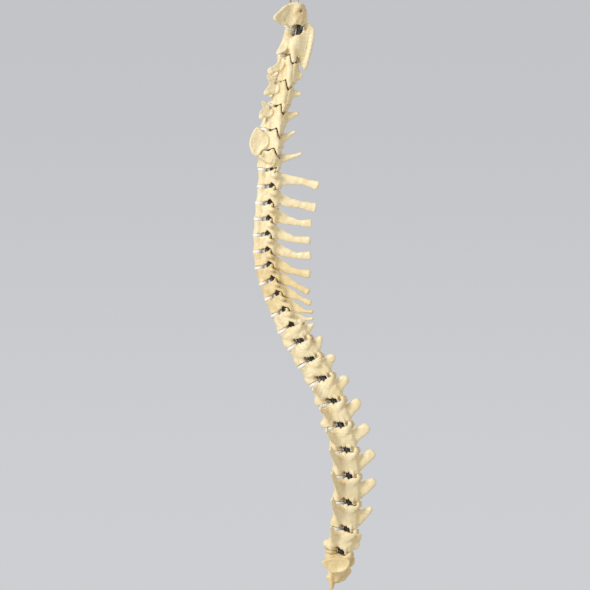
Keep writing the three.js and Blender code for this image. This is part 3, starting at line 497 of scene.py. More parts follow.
class Clay:
    """A signed distance on a grid over one half of a bone, which is mirrored when it is meshed."""

    def __init__(self, low: tuple[float, float], high: tuple[float, float, float], step: float) -> None:
        """Lays out the grid.

        Args:
            low: the least x and z.
            high: the greatest x, y and z.
            step: the grid's spacing.
        """
        self.step = step
        self.x = np.arange(low[0], high[0], step)
        self.y = (np.arange(int(high[1] / step) + 2) + 0.5) * step
        self.z = np.arange(low[1], high[2], step)
        self.d = np.full((len(self.x), len(self.y), len(self.z)), FAR, np.float32)

    @property
    def plane(self) -> tuple[np.ndarray, np.ndarray]:
        """The grid's x values as a column and its z values as a row."""
        return self.x[:, None], self.z[None, :]

    @property
    def axes(self) -> tuple[np.ndarray, ...]:
        """The grid's x, y and z values."""
        return self.x, self.y, self.z

    def _join(self, window: Window, d: np.ndarray, blend: float, cut: bool = False) -> None:
        """Joins a shape on, or cuts it away, with a rounded corner."""
        old = self.d[window]
        if cut:
            h = np.clip(0.5 - 0.5 * (old + d) / blend, 0, 1)
            self.d[window] = old + (-d - old) * h + blend * h * (1 - h)
        else:
            h = np.clip(0.5 + 0.5 * (old - d) / blend, 0, 1)
            self.d[window] = old + (d - old) * h - blend * h * (1 - h)

    def limb(
        self,
        stations: list[Station],
        side: tuple[float, float, float] = ACROSS,
        blend: float = 1.6,
        cap: float = 1.0,
        cut: bool = False,
    ) -> None:
        """Adds or cuts a limb with an oval section that changes smoothly along a curve.

        Args:
            stations: x, y, z, the radius along the side direction and the radius across it.
            side: the direction of the first radius.
            blend: how widely it runs into what is there.
            cap: how far its ends bulge, as a share of the smaller radius.
            cut: whether it is cut away.
        """
        line = fair(stations)
        wide = line[:, 3:].max() + MARGIN
        window = within(self.axes, line[:, :3].min(axis=0) - wide, line[:, :3].max(axis=0) + wide)
        if any(w.stop <= w.start for w in window):
            return
        axes = [axis[w].astype(np.float32) for axis, w in zip(self.axes, window)]
        best = np.full([len(axis) for axis in axes], FAR, np.float32)
        for first, last in zip(line, line[1:]):
            a, b = first[:3], last[:3]
            reach = max(first[3], first[4], last[3], last[4]) + MARGIN
            near = within(axes, np.minimum(a, b) - reach, np.maximum(a, b) + reach)
            if any(w.stop <= w.start for w in near):
                continue
            length = float(np.linalg.norm(b - a))
            way = (b - a) / length
            one = np.array(side) - way * float(np.dot(side, way))
            one /= np.linalg.norm(one)
            two = np.cross(way, one)
            px, py, pz = away(axes, near, a)
            along = px * way[0] + py * way[1] + pz * way[2]
            t = np.clip(along / length, 0, 1)
            u = px * one[0] + py * one[1] + pz * one[2]
            v = px * two[0] + py * two[1] + pz * two[2]
            w = along - t * length
            ra = first[3] + (last[3] - first[3]) * t
            rb = first[4] + (last[4] - first[4]) * t
            best[near] = np.minimum(best[near], oval(u, v, w, (ra, rb, np.minimum(ra, rb) * cap)))
        self._join(window, best, blend, cut)

    def ball(
        self,
        centre: tuple[float, float, float],
        radii: tuple[float, float, float],
        blend: float = 1.2,
        cut: bool = False,
    ) -> None:
        """Adds or cuts an ellipsoid.

        Args:
            centre: its middle.
            radii: its half sizes along x, y and z.
            blend: how widely it runs into what is there.
            cut: whether it is cut away.
        """
        margin = max(radii) + 5
        c = np.array(centre)
        window = within(self.axes, c - margin, c + margin)
        if any(w.stop <= w.start for w in window):
            return
        self._join(window, oval(*away(self.axes, window, c), radii), blend, cut)

    def plate(
        self,
        outline: Outline,
        inner: float,
        outer: float,
        blend: float = 1.2,
        rounding: float = 0.8,
        cut: bool = False,
    ) -> None:
        """Adds or cuts a plate with an outline in x and z and rounded edges.

        Args:
            outline: the plate's corners.
            inner: its nearest y.
            outer: its farthest y.
            blend: how widely it runs into what is there.
            rounding: the radius of its edges.
            cut: whether it is cut away.
        """
        flat = polygon(outline, self.x, self.z)[:, None, :] + rounding
        middle, half = (inner + outer) / 2, (outer - inner) / 2
        slab = np.abs(self.y[None, :, None] - middle) - half + rounding
        self._join(WHOLE, rounded(flat, slab, rounding), blend, cut)

    def panel(
        self,
        outline: Outline,
        middle: float | np.ndarray,
        thick: float,
        rim: float = 0.0,
        blend: float = 1.6,
        rounding: float = 0.7,
    ) -> None:
        """Adds a curved panel with a flowing outline in x and z and, if asked, a raised rim.

        Args:
            outline: points that the outline runs through.
            middle: the y of its middle over the grid's x and z.
            thick: its thickness.
            rim: how much its edge is raised at each face.
            blend: how widely it runs into what is there.
            rounding: the radius of its edges.
        """
        edge = polygon(flowing(outline), self.x, self.z)
        middle = np.broadcast_to(middle, edge.shape)
        dx, dz = np.gradient(middle, self.step)
        tilt = np.sqrt(1 + dx**2 + dz**2)[:, None, :]
        half = (thick / 2 + rim * np.exp(-((edge + 1.0) ** 2) / 3.0))[:, None, :]
        slab = np.abs(self.y[None, :, None] - middle[:, None, :]) / tilt - half + rounding
        d = rounded(edge[:, None, :] + rounding, slab, rounding)
        self._join(WHOLE, d.astype(np.float32), blend)

    def trim(self, point: tuple[float, float], normal: tuple[float, float], blend: float = 0.8) -> None:
        """Cuts off everything past a plane that stands across the plane of symmetry."""
        size = math.hypot(*normal)
        d = -((self.x[:, None] - point[0]) * normal[0] + (self.z[None, :] - point[1]) * normal[1]) / size
        self._join(WHOLE, np.broadcast_to(d[:, None, :], self.d.shape), blend, cut=True)

    def mesh(self, seed: int) -> tuple[np.ndarray, np.ndarray, np.ndarray]:
        """Meshes both halves.

        Args:
            seed: picks the bone's own small unevenness.

        Returns:
            The points, the four-cornered faces, and how deep in a recess each point lies.
        """
        d = np.concatenate([self.d[:, ::-1], self.d], axis=1)
        y = np.concatenate([-self.y[::-1], self.y])
        random = np.random.default_rng(seed)
        gx, gy, gz = np.ix_(self.x, y, self.z)
        for wave, height in SWELLS:
            for _ in range(2):
                way = random.normal(size=3)
                way *= 2 * math.pi / wave / np.linalg.norm(way)
                phase = random.uniform(0, 2 * math.pi)
                swell = np.sin(way[0] * gx + way[1] * gy + way[2] * gz + phase)
                d = d + (height * swell).astype(np.float32)
        d[0], d[-1] = FAR, FAR
        d[:, 0], d[:, -1] = FAR, FAR
        d[:, :, 0], d[:, :, -1] = FAR, FAR
        points, quads = surface_net(d)
        normals = slopes(d, points)
        # How deep in a recess each point lies; the ivory finish turns it into painted shade in the hollows.
        recess = np.zeros(len(points))
        for reach in DEPTHS:
            beyond = sample(d, points + normals * reach / self.step)
            recess += np.clip(1 - beyond / reach, 0, 1.4) / 3
        origin = np.array([self.x[0], y[0], self.z[0]])
        return origin + points * self.step, quads, recess


def within(axes: Axes, low: np.ndarray, high: np.ndarray) -> Window:
    """Gives the part of a grid with these axes that lies between two corners."""
    return tuple(slice(*map(int, np.searchsorted(axis, ends))) for axis, *ends in zip(axes, low, high))


def away(axes: Axes, window: Window, spot: np.ndarray) -> tuple[np.ndarray, ...]:
    """Gives how far a part of a grid lies from a spot, along x, y and z."""
    return np.ix_(*(axis[w] - start for axis, w, start in zip(axes, window, spot)))


def sample(d: np.ndarray, points: np.ndarray) -> np.ndarray:
    """Reads a grid between its points, where points are in grid steps."""
    base = np.clip(np.floor(points).astype(int), 0, np.array(d.shape) - 2)
    f = np.clip(points - base, 0, 1)
    total = np.zeros(len(points))
    for corner in CORNERS:
        total += np.prod(np.where(corner, f, 1 - f), axis=1) * d[tuple((base + corner).T)]
    return total


def slopes(d: np.ndarray, points: np.ndarray) -> np.ndarray:
    """Gives the outward direction at each point of a grid's surface."""
    normals = np.zeros_like(points)
    for axis in range(3):
        step = np.zeros(3)
        step[axis] = 1.0
        normals[:, axis] = sample(d, points + step) - sample(d, points - step)
    return normals / (np.linalg.norm(normals, axis=1)[:, None] + 1e-9)


def surface_net(d: np.ndarray) -> tuple[np.ndarray, np.ndarray]:
    """Meshes the zero surface of a grid, with one point for each cell that it passes through.

    Args:
        d: the signed distances, negative inside.

    Returns:
        The points in grid steps, and the four-cornered faces.
    """
    inside = d < 0
    counts = np.zeros(tuple(n - 1 for n in d.shape), np.int8)
    for corner in CORNERS:
        counts += inside[tuple(slice(c, c + n) for c, n in zip(corner, counts.shape))]
    cells = np.argwhere((counts > 0) & (counts < 8))
    number = np.full(counts.shape, -1, np.int64)
    number[tuple(cells.T)] = np.arange(len(cells))
    total = np.zeros((len(cells), 3))
    hits = np.zeros(len(cells))
    for a, b in itertools.combinations(CORNERS, 2):
        if np.abs(a - b).sum() != 1:
            continue
        da, db = d[tuple((cells + a).T)], d[tuple((cells + b).T)]
        crosses = (da < 0) != (db < 0)
        t = np.where(crosses, da / np.where(crosses, da - db, 1), 0)
        total += crosses[:, None] * (a + t[:, None] * (b - a))
        hits += crosses
    points = cells + total / hits[:, None]
    quads = []
    for axis in range(3):
        ahead = [slice(None)] * 3
        behind = [slice(None)] * 3
        ahead[axis], behind[axis] = slice(1, None), slice(None, -1)
        first, second = inside[tuple(behind)], inside[tuple(ahead)]
        edges = np.argwhere(first != second)
        one, two = (axis + 1) % 3, (axis + 2) % 3
        for side in (one, two):
            edges = edges[(edges[:, side] > 0) & (edges[:, side] < counts.shape[side])]
        faces = []
        for du, dv in ((-1, -1), (0, -1), (0, 0), (-1, 0)):
            cell = edges.copy()
            cell[:, one] += du
            cell[:, two] += dv
            faces.append(number[tuple(cell.T)])
        faces = np.stack(faces, axis=1)
        outward = first[tuple(edges.T)]
        faces[~outward] = faces[~outward][:, ::-1]
        quads.append(faces)
    return points, np.concatenate(quads)


def make_mesh(
    name: str, points: np.ndarray, faces: np.ndarray, recess: np.ndarray | None = None
) -> bpy.types.Object:
    """Makes a smooth object from points in metres.

    Args:
        name: the piece's name.
        points: its points.
        faces: its faces, all with the same number of corners.
        recess: how deep in a recess each point lies.

    Returns:
        The object, in the scene.
    """
    mesh = bpy.data.meshes.new(name)
    corners = faces.shape[1]
    mesh.vertices.add(len(points))
    mesh.vertices.foreach_set("co", points.astype(np.float32).ravel())
    mesh.loops.add(faces.size)
    mesh.loops.foreach_set("vertex_index", faces.astype(np.int32).ravel())
    mesh.polygons.add(len(faces))
    mesh.polygons.foreach_set("loop_start", np.arange(0, faces.size, corners, dtype=np.int32))
    mesh.polygons.foreach_set("loop_total", np.full(len(faces), corners, np.int32))
    mesh.polygons.foreach_set("use_smooth", np.ones(len(faces), bool))
    mesh.update(calc_edges=True)
    mesh.validate()
    if recess is not None:
        layer = mesh.attributes.new("recess", "FLOAT", "POINT")
        layer.data.foreach_set("value", recess.astype(np.float32))
    made = bpy.data.objects.new(name, mesh)
    bpy.context.scene.collection.objects.link(made)
    return made


FACET_LINES = {  # the x of the cranial and the caudal end of the facets' gap below each of these bones
    "axis_c2": (8.5, 11.6), "cervical_3": (9.2, 12.7), "cervical_4": (10.8, 13.2),
    "cervical_5": (12.4, 14.8), "cervical_6": (12, 15.6),
}


@dataclass(frozen=True)
class Blade:
    """A process at each side: how far out, cranial and ventral its tip lies, and how long and thick it is."""

    reach: float
    fore: float
    sag: float
    root: float
    tip: float
    thick: float = 3.2


class Bone:
    """A cast bone, built up in clay in its own frame and then meshed."""

    step = 0.6
    girth = 17.0
    ventral = 13.0
    crown = 8.0
    drum = ((-0.1, 1), (0.08, 0.99), (0.28, 0.88), (0.5, 0.82), (0.72, 0.88), (0.92, 0.99), (1.1, 1))

    def __init__(self, site: Site) -> None:
        """Takes the bone's sizes from its site.

        Args:
            site: where the bone lies, with its row of sizes.
        """
        self.site, self.place, self.row = site, site.place, site.row
        self.kind, self.joint = site.row.pattern, site.joint
        self.half = site.row.pitch / 2
        self.name = site.row.name
        self.seed = sum(map(ord, self.name))

    def grid(self) -> Clay:
        """Gives empty clay that is large enough for the bone."""
        row = self.row
        bottom = min(-self.half - 9, -row.drop - row.tip / 2 - 4)
        top = max(self.half + self.crown, -row.drop + row.tip / 2 + 4)
        return Clay((-self.ventral, bottom), (max(row.reach, 24) + 4, self.girth, top), self.step)

    def stretch(self, share: float) -> tuple[float, float]:
        """Gives a point of the body's middle line, from the upper disc at 0 to the lower disc at 1."""
        a, b = self.site.up(0, 0), self.site.low(0, 0)
        return a[0] + (b[0] - a[0]) * share, a[1] + (b[1] - a[1]) * share

    def body(self, clay: Clay) -> None:
        """Adds the drum of the bone, waisted and with a flared rim at each disc."""
        upper, lower = self.kind, self.joint
        line = []
        for share, waist in self.drum:
            wide = (upper.width + (lower.width - upper.width) * share) / 2 * waist
            deep = (upper.depth + (lower.depth - upper.depth) * share) / 2 * waist
            line.append(station(self.stretch(share), 0, wide, deep))
        clay.limb(line, blend=0.6, cap=0.3)
        self.level(clay, self.site.up, -upper.disc / 2, 1)
        self.foot(clay)

    def foot(self, clay: Clay) -> None:
        """Levels the bone's lower face."""
        self.level(clay, self.site.low, self.joint.disc / 2, -1)

    @staticmethod
    def level(
        clay: Clay, place: Callable[[float, float], tuple[float, float]], drop: float, sense: int
    ) -> None:
        """Cuts the drum off square at one end: the cranial one if sense is 1, the caudal one if it is -1."""
        point, beyond = place(0, drop), place(0, drop + sense)
        clay.trim(point, (beyond[0] - point[0], beyond[1] - point[1]), 1.1)

    def canal(self, clay: Clay) -> None:
        """Bores the canal for the core."""
        wide, end = self.kind.canal / 2, self.joint.canal / 2
        clay.limb([
            station(self.site.up(CORE_X, self.kind.facet_lap + 4), 0, wide, wide), (CORE_X, 0, 0, wide, wide),
            station(self.site.low(CORE_X, -self.joint.facet_lap - 4), 0, end, end),
        ], blend=0.5, cut=True)

    def seams(self, clay: Clay) -> None:
        """Frees the bone from its neighbours along the facets and between the spines."""
        site, up, low = self.site, self.site.up, self.site.low
        if site.below:
            line = self._seam(site, 0.4)
            if self.kind.region is Region.NECK:
                start = low(CORE_X - 2.8, 1.6)
            else:
                start, line = low(CORE_X, 0.5 - self.joint.facet_lap), line[1:]
            corner = low(CORE_X - 2.8, -60)
            clay.plate([start, *line, (line[-1][0], corner[1]), corner], -ASIDE, ASIDE, 0.5, 0.2, cut=True)
        if site.above:
            line = self._seam(site.above, -0.6)
            corner = up(CORE_X, 60)
            wide = self.kind.hook_y if self.kind.region is Region.LOIN else ASIDE
            if self.kind.region is Region.NECK:
                line[0] = up(CORE_X - 3.4, 0)
            outline = [*line, (line[-1][0], corner[1]), (line[0][0], corner[1])]
            clay.plate(outline, -wide, wide, 0.5, 0.2, cut=True)
            if self.kind.region is Region.CHEST:
                slot = [up(11.4, 1.5), up(15.4, 1.5), up(15.4, 9), up(11.4, 9)]
                clay.plate(slot, -ASIDE, ASIDE, 0.3, 0.2, cut=True)

    def _seam(self, upper: Site, share: float) -> Outline:
        """Gives one edge of the gap between two bones' facets and spines, in this bone's frame.

        The gap is as wide as the joint needs to bend back to its limit.

        Args:
            upper: the upper one of the two.
            share: the share of the gap from its middle line to the edge, below 0 for the lower bone.

        Returns:
            The edge's points, from the canal to past the spines' tips.
        """
        foot, joint = upper.foot, upper.joint
        bend = math.radians(STIFF.get(upper.below.row.name, joint.bend))
        if joint.region is Region.NECK:
            top, low = FACET_LINES[upper.row.name]
            line = [(top - 0.4, 4), (top, 2.6), (low, -4.4), (low + 1.2, -5.6)]
        else:
            line = [(joint.facet_x, 3), (joint.facet_x, -joint.facet_lap)]
        for along in (0, 0.4, 0.75, 1, 1.5):
            one, two = upper.spine_point(along), upper.below.spine_point(along)
            line.append(foot.of(WORLD, (one[0] + two[0]) / 2, (one[1] + two[1]) / 2))
        middle = np.array(line)
        way = np.diff(middle, axis=0)
        across = np.stack([-way[:, 1], way[:, 0]], axis=1) / np.linalg.norm(way, axis=1)[:, None]
        before, after = np.vstack([across[:1], across]), np.vstack([across, across[-1:]])
        normal = (before + after) / np.linalg.norm(before + after, axis=1)[:, None]
        moved = [np.abs(middle[:, 0] * n[:, 1] - middle[:, 1] * n[:, 0]) * bend for n in (before, after)]
        gap = np.maximum(joint.seam, SLACK + np.maximum(*moved))
        gap = gap / np.clip((normal * before).sum(axis=1), 0.5, 1)
        edge = middle + normal * (gap * share)[:, None]
        return [self.place.of(foot, x, z) for x, z in edge]

    def spine(self, clay: Clay, stations: tuple[tuple[float, float, float], ...], blend: float = 2.4) -> None:
        """Adds the spine.

        Args:
            clay: the bone's clay.
            stations: along the spine, its half thickness and its half length.
            blend: how widely its root runs into the arch.
        """
        line = [(self.kind.roof_x - 3.4, 0, -self.row.root, stations[0][1], stations[0][2])]
        for share, thick, long in stations:
            line.append(station(self.place.of(WORLD, *self.site.spine_point(share)), 0, thick, long))
        clay.limb(line, blend=blend, cap=0.7)

    def shape(self, clay: Clay) -> None:
        """Builds the bone up; each region has its own."""
        raise NotImplementedError

    def free(self, clay: Clay) -> None:
        """Makes the last cuts: the canal and the gaps to the neighbours."""
        self.canal(clay)
        self.seams(clay)

    def build(self) -> bpy.types.Object:
        """Makes the bone's object and ties it to its body.

        Returns:
            The object, in place.
        """
        clay = self.grid()
        self.shape(clay)
        self.free(clay)
        points, quads, recess = clay.mesh(self.seed)
        made = make_mesh("bone-" + self.name.replace("_", "-"), self.place.world(points), quads, recess)
        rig.replaces(made, self.name)
        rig.ride(made, Layout.body(self.name))
        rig.slot(made, "bone")
        return made


class ChestBone(Bone):
    """A thoracic vertebra: short body, rib facets, costal knobs and a long spine with a club at its tip."""

    def arch(self, clay: Clay) -> None:
        """Adds the pedicles, which leave a dark notch over each disc, and the shingled roof."""
        up, low, lap = self.site.up, self.site.low, self.joint.facet_lap
        clay.plate([
            up(3.6, -2.4), up(7.4, -0.7), up(12.6, -0.6), up(15.6, -2.2), low(15.8, 1),
            low(13.2, 2.9), low(10.3, 5.6), low(8, 3), low(3.6, 2.4),
        ], 3.4, 6.8, 1.8, 1.3)
        clay.limb([
            station(up(15.4, -2.8), 0, 5.4, 1.7), (16.8, 0, 0, 5.6, 2.2),
            station(low(17.4, 3.2), 0, 5.2, 2.2), station(low(17.8, -lap - 1), 0, 4, 1.8),
        ], blend=2, cap=0.8)
        clay.limb([station(up(13.2, -2.6), 5.2, 1.9, 1.6), station(up(13.1, 1.9), 5.2, 1.7, 1)], blend=1.2)
        clay.limb([
            station(low(16.4, 3), 4.4, 2.2, 1.6), station(low(16.5, -lap + 0.6), 4.4, 1.9, 1.3),
        ], blend=1.6)

    def shape(self, clay: Clay) -> None:
        """Builds the bone up."""
        self.body(clay)
        clay.limb([(1.6, 0, end, 5.6, 5) for end in (self.half - 3, -self.half + 3)], blend=1, cap=0.3)
        self.arch(clay)
        tip = self.row.tip / 2
        neck = max(tip * 0.8, 1.7)
        self.spine(clay, (
            (0, 2.5, 5.9), (0.2, 2.1, 5.3), (0.38, 1.8, (5.3 + neck) / 2), (0.62, 1.6, neck),
            (0.84, 1.8, max(tip * 0.93, neck)), (0.965, 2.1, tip * 1.04),
        ))
        self.knobs(clay)

    def knobs(self, clay: Clay) -> None:
        """Adds the knobs at the sides and hollows the seats of the ribs."""
        out = 12.6 if int(self.name.split("_")[1]) < 9 else 11.6
        z = self.half - 4.4
        clay.limb([
            (12.2, 5, z, 3.4, 2.8), (13.4, 8.6, z, 2.9, 2.5), (14.2, out - 2, z, 3.6, 3.2),
        ], side=ALONG, blend=2.2)
        clay.ball((14.3, out - 1.7, z), (3.4, 2.6, 3.9), 1.4)
        clay.ball((11.6, out + 1.7, z + 0.6), (2.4, 2.2, 2.8), 0.6, cut=True)
        for end in (self.half - 1.4, -self.half + 1.4):
            clay.ball((4.6, 8.4, end), (2.4, 2, 2.2), 0.9, cut=True)


class LoinBone(Bone):
    """A lumbar vertebra, or a last thoracic one: strong body, hooked facets and a broad club of a spine."""

    blades = {
        "lumbar_1": Blade(20, 8, 2, 12, 5.4), "lumbar_2": Blade(25, 11, 2.4, 13, 6),
        "lumbar_3": Blade(28, 13, 2, 14, 7), "lumbar_4": Blade(31, 18.5, 3, 15, 7.4),
        "lumbar_5": Blade(32, 20, 3.6, 15, 7.4), "lumbar_6": Blade(31, 19, 3.6, 14, 7),
        "lumbar_7": Blade(24, 14.5, 3.6, 12.5, 5.8),
    }
    bulges = {"thoracic_13": 1, "lumbar_1": 2, "lumbar_2": 2.8, "lumbar_7": 3.6}

    def grid(self) -> Clay:
        """Gives empty clay that is large enough for the bone and its blades."""
        blade, row = self.blades.get(self.name), self.row
        top = max(self.half + 9, -row.drop + row.tip / 2 + 5, (blade.fore + 7) if blade else 0)
        wide = blade.reach + 3 if blade else self.girth
        return Clay((-self.ventral, -self.half - 9), (row.reach + 5, wide, top), self.step)

    def arch(self, clay: Clay) -> None:
        """Adds the walls, which sweep up from the body into the spine as one saddle, and the roof."""
        up, low = self.site.up, self.site.low
        line = []
        for x, y, fore, aft, thick in (
            (1, 6, -3.4, 6.4, 2.6), (5, 7, -1, 6.6, 2.6), (8.4, 7.5, 0.2, 6.4, 2.6),
            (13.4, 7, -2.2, 3.4, 2.7), (17.6, 4.8, -1.6, 2.6, 2.7),
        ):
            top, end = up(x, fore)[1], low(x, aft)[1]
            line.append((x, y, (top + end) / 2, (top - end) / 2, thick))
        clay.limb(line, side=ALONG, blend=2.6, cap=0.9)
        clay.limb([
            station(up(16.4, -3.4), 0, 7, 1.9), (17.4, 0, 0, 7, 2.6),
            station(low(18, -self.joint.facet_lap - 0.6), 0, 4.8, 2.3),
        ], blend=2.4, cap=0.8)

    def hooks(self, clay: Clay) -> None:
        """Adds the cranial facets with their hooks, outside the facets of the bone above."""
        up, inner = self.site.up, self.kind.hook_y
        rise = ((10, -7.6, 3.4), (14, -5.6, 3.2), (17.4, -3.6, 2.9), (20, -1, 2.7))
        clay.limb([station(up(x, z), inner + 1.8, 1.9, r) for x, z, r in rise], blend=2.6, cap=0.9)
        tip = up(20.2, 0.2)
        clay.ball((tip[0], inner + 1.9, tip[1]), (2.3, 2, 2.7), 1.6)

    def tongue(self, clay: Clay) -> None:
        """Adds the caudal facets, which sit between the hooks of the bone below."""
        low, wide = self.site.low, self.joint.hook_y - 0.9
        clay.limb([
            (15.8, wide - 2.4, -1.5, 2.8, 3.2), station(low(17.4, 5.5), wide - 2.3, 2.5, 2.8),
            station(low(16.9, -self.joint.facet_lap + 0.2), wide - 2.2, 2.1, 2.1),
        ], blend=2)

    def blade(self, clay: Clay, blade: Blade) -> None:
        """Adds a broad process at each side, which turns cranially on its way out."""
        x, y, z = 3.2, 6.6, -1.8
        line = []
        for share in (0, 0.3, 0.65, 1):
            out = y + (blade.reach - blade.tip / 3 - y) * share
            long = (blade.root + (blade.tip - blade.root) * share**0.7) / 2
            spot = (x + (-blade.sag - x) * share, z + (blade.fore - z) * share**1.25)
            line.append(station(spot, out, long, blade.thick / 2 * (1 - 0.35 * share)))
        clay.limb(line, side=ALONG, blend=3.6, cap=0.8)

    def shape(self, clay: Clay) -> None:
        """Builds the bone up."""
        up, low = self.site.up, self.site.low
        self.body(clay)
        bulge = self.bulges.get(self.name, 0.4)
        clay.ball((-3.2 - bulge * 0.6, 0, -self.half + 6.4), (3.4 + bulge * 0.55, 6.6, 5.4), 2.6)
        self.foot(clay)
        self.arch(clay)
        self.hooks(clay)
        if self.site.below:
            self.tongue(clay)
        self.back(clay)
        for x, z in (low(17.2, 1.6), up(17.2, 0.2)):
            clay.ball((x, 9, z), (2, 4.4, 1.7), 0.9, cut=True)
        clay.limb([station(low(14.6, 5), 7.8, 1.8, 1.8), station(low(15.3, 2.2), 8.6, 0.8, 0.8)], blend=1.8)
        if self.name in self.blades:
            self.blade(clay, self.blades[self.name])
        else:
            clay.limb([(11, 6, 3.2, 3.2, 2.6), (13, 10.2, 3.8, 2.7, 2.3)], side=ALONG, blend=2.4)
            clay.ball((4.6, 10, self.half - 2.6), (2.6, 2, 2.6), 1, cut=True)

    def back(self, clay: Clay) -> None:
        """Adds the spine: a wide root that sweeps up into a rounded club."""
        tip, pitch = self.row.tip / 2, self.row.pitch
        middle = max(0.25 * pitch, tip * 1.08)
        self.spine(clay, (
            (0, 3.6, 0.36 * pitch), (0.14, 2.9, 0.31 * pitch), (0.34, 2.3, middle * 1.04),
            (0.62, 2.2, (middle + tip) / 2), (0.86, 2.6, tip * 1.02), (0.985, 2.2, tip * 0.8),
        ), 3.2)


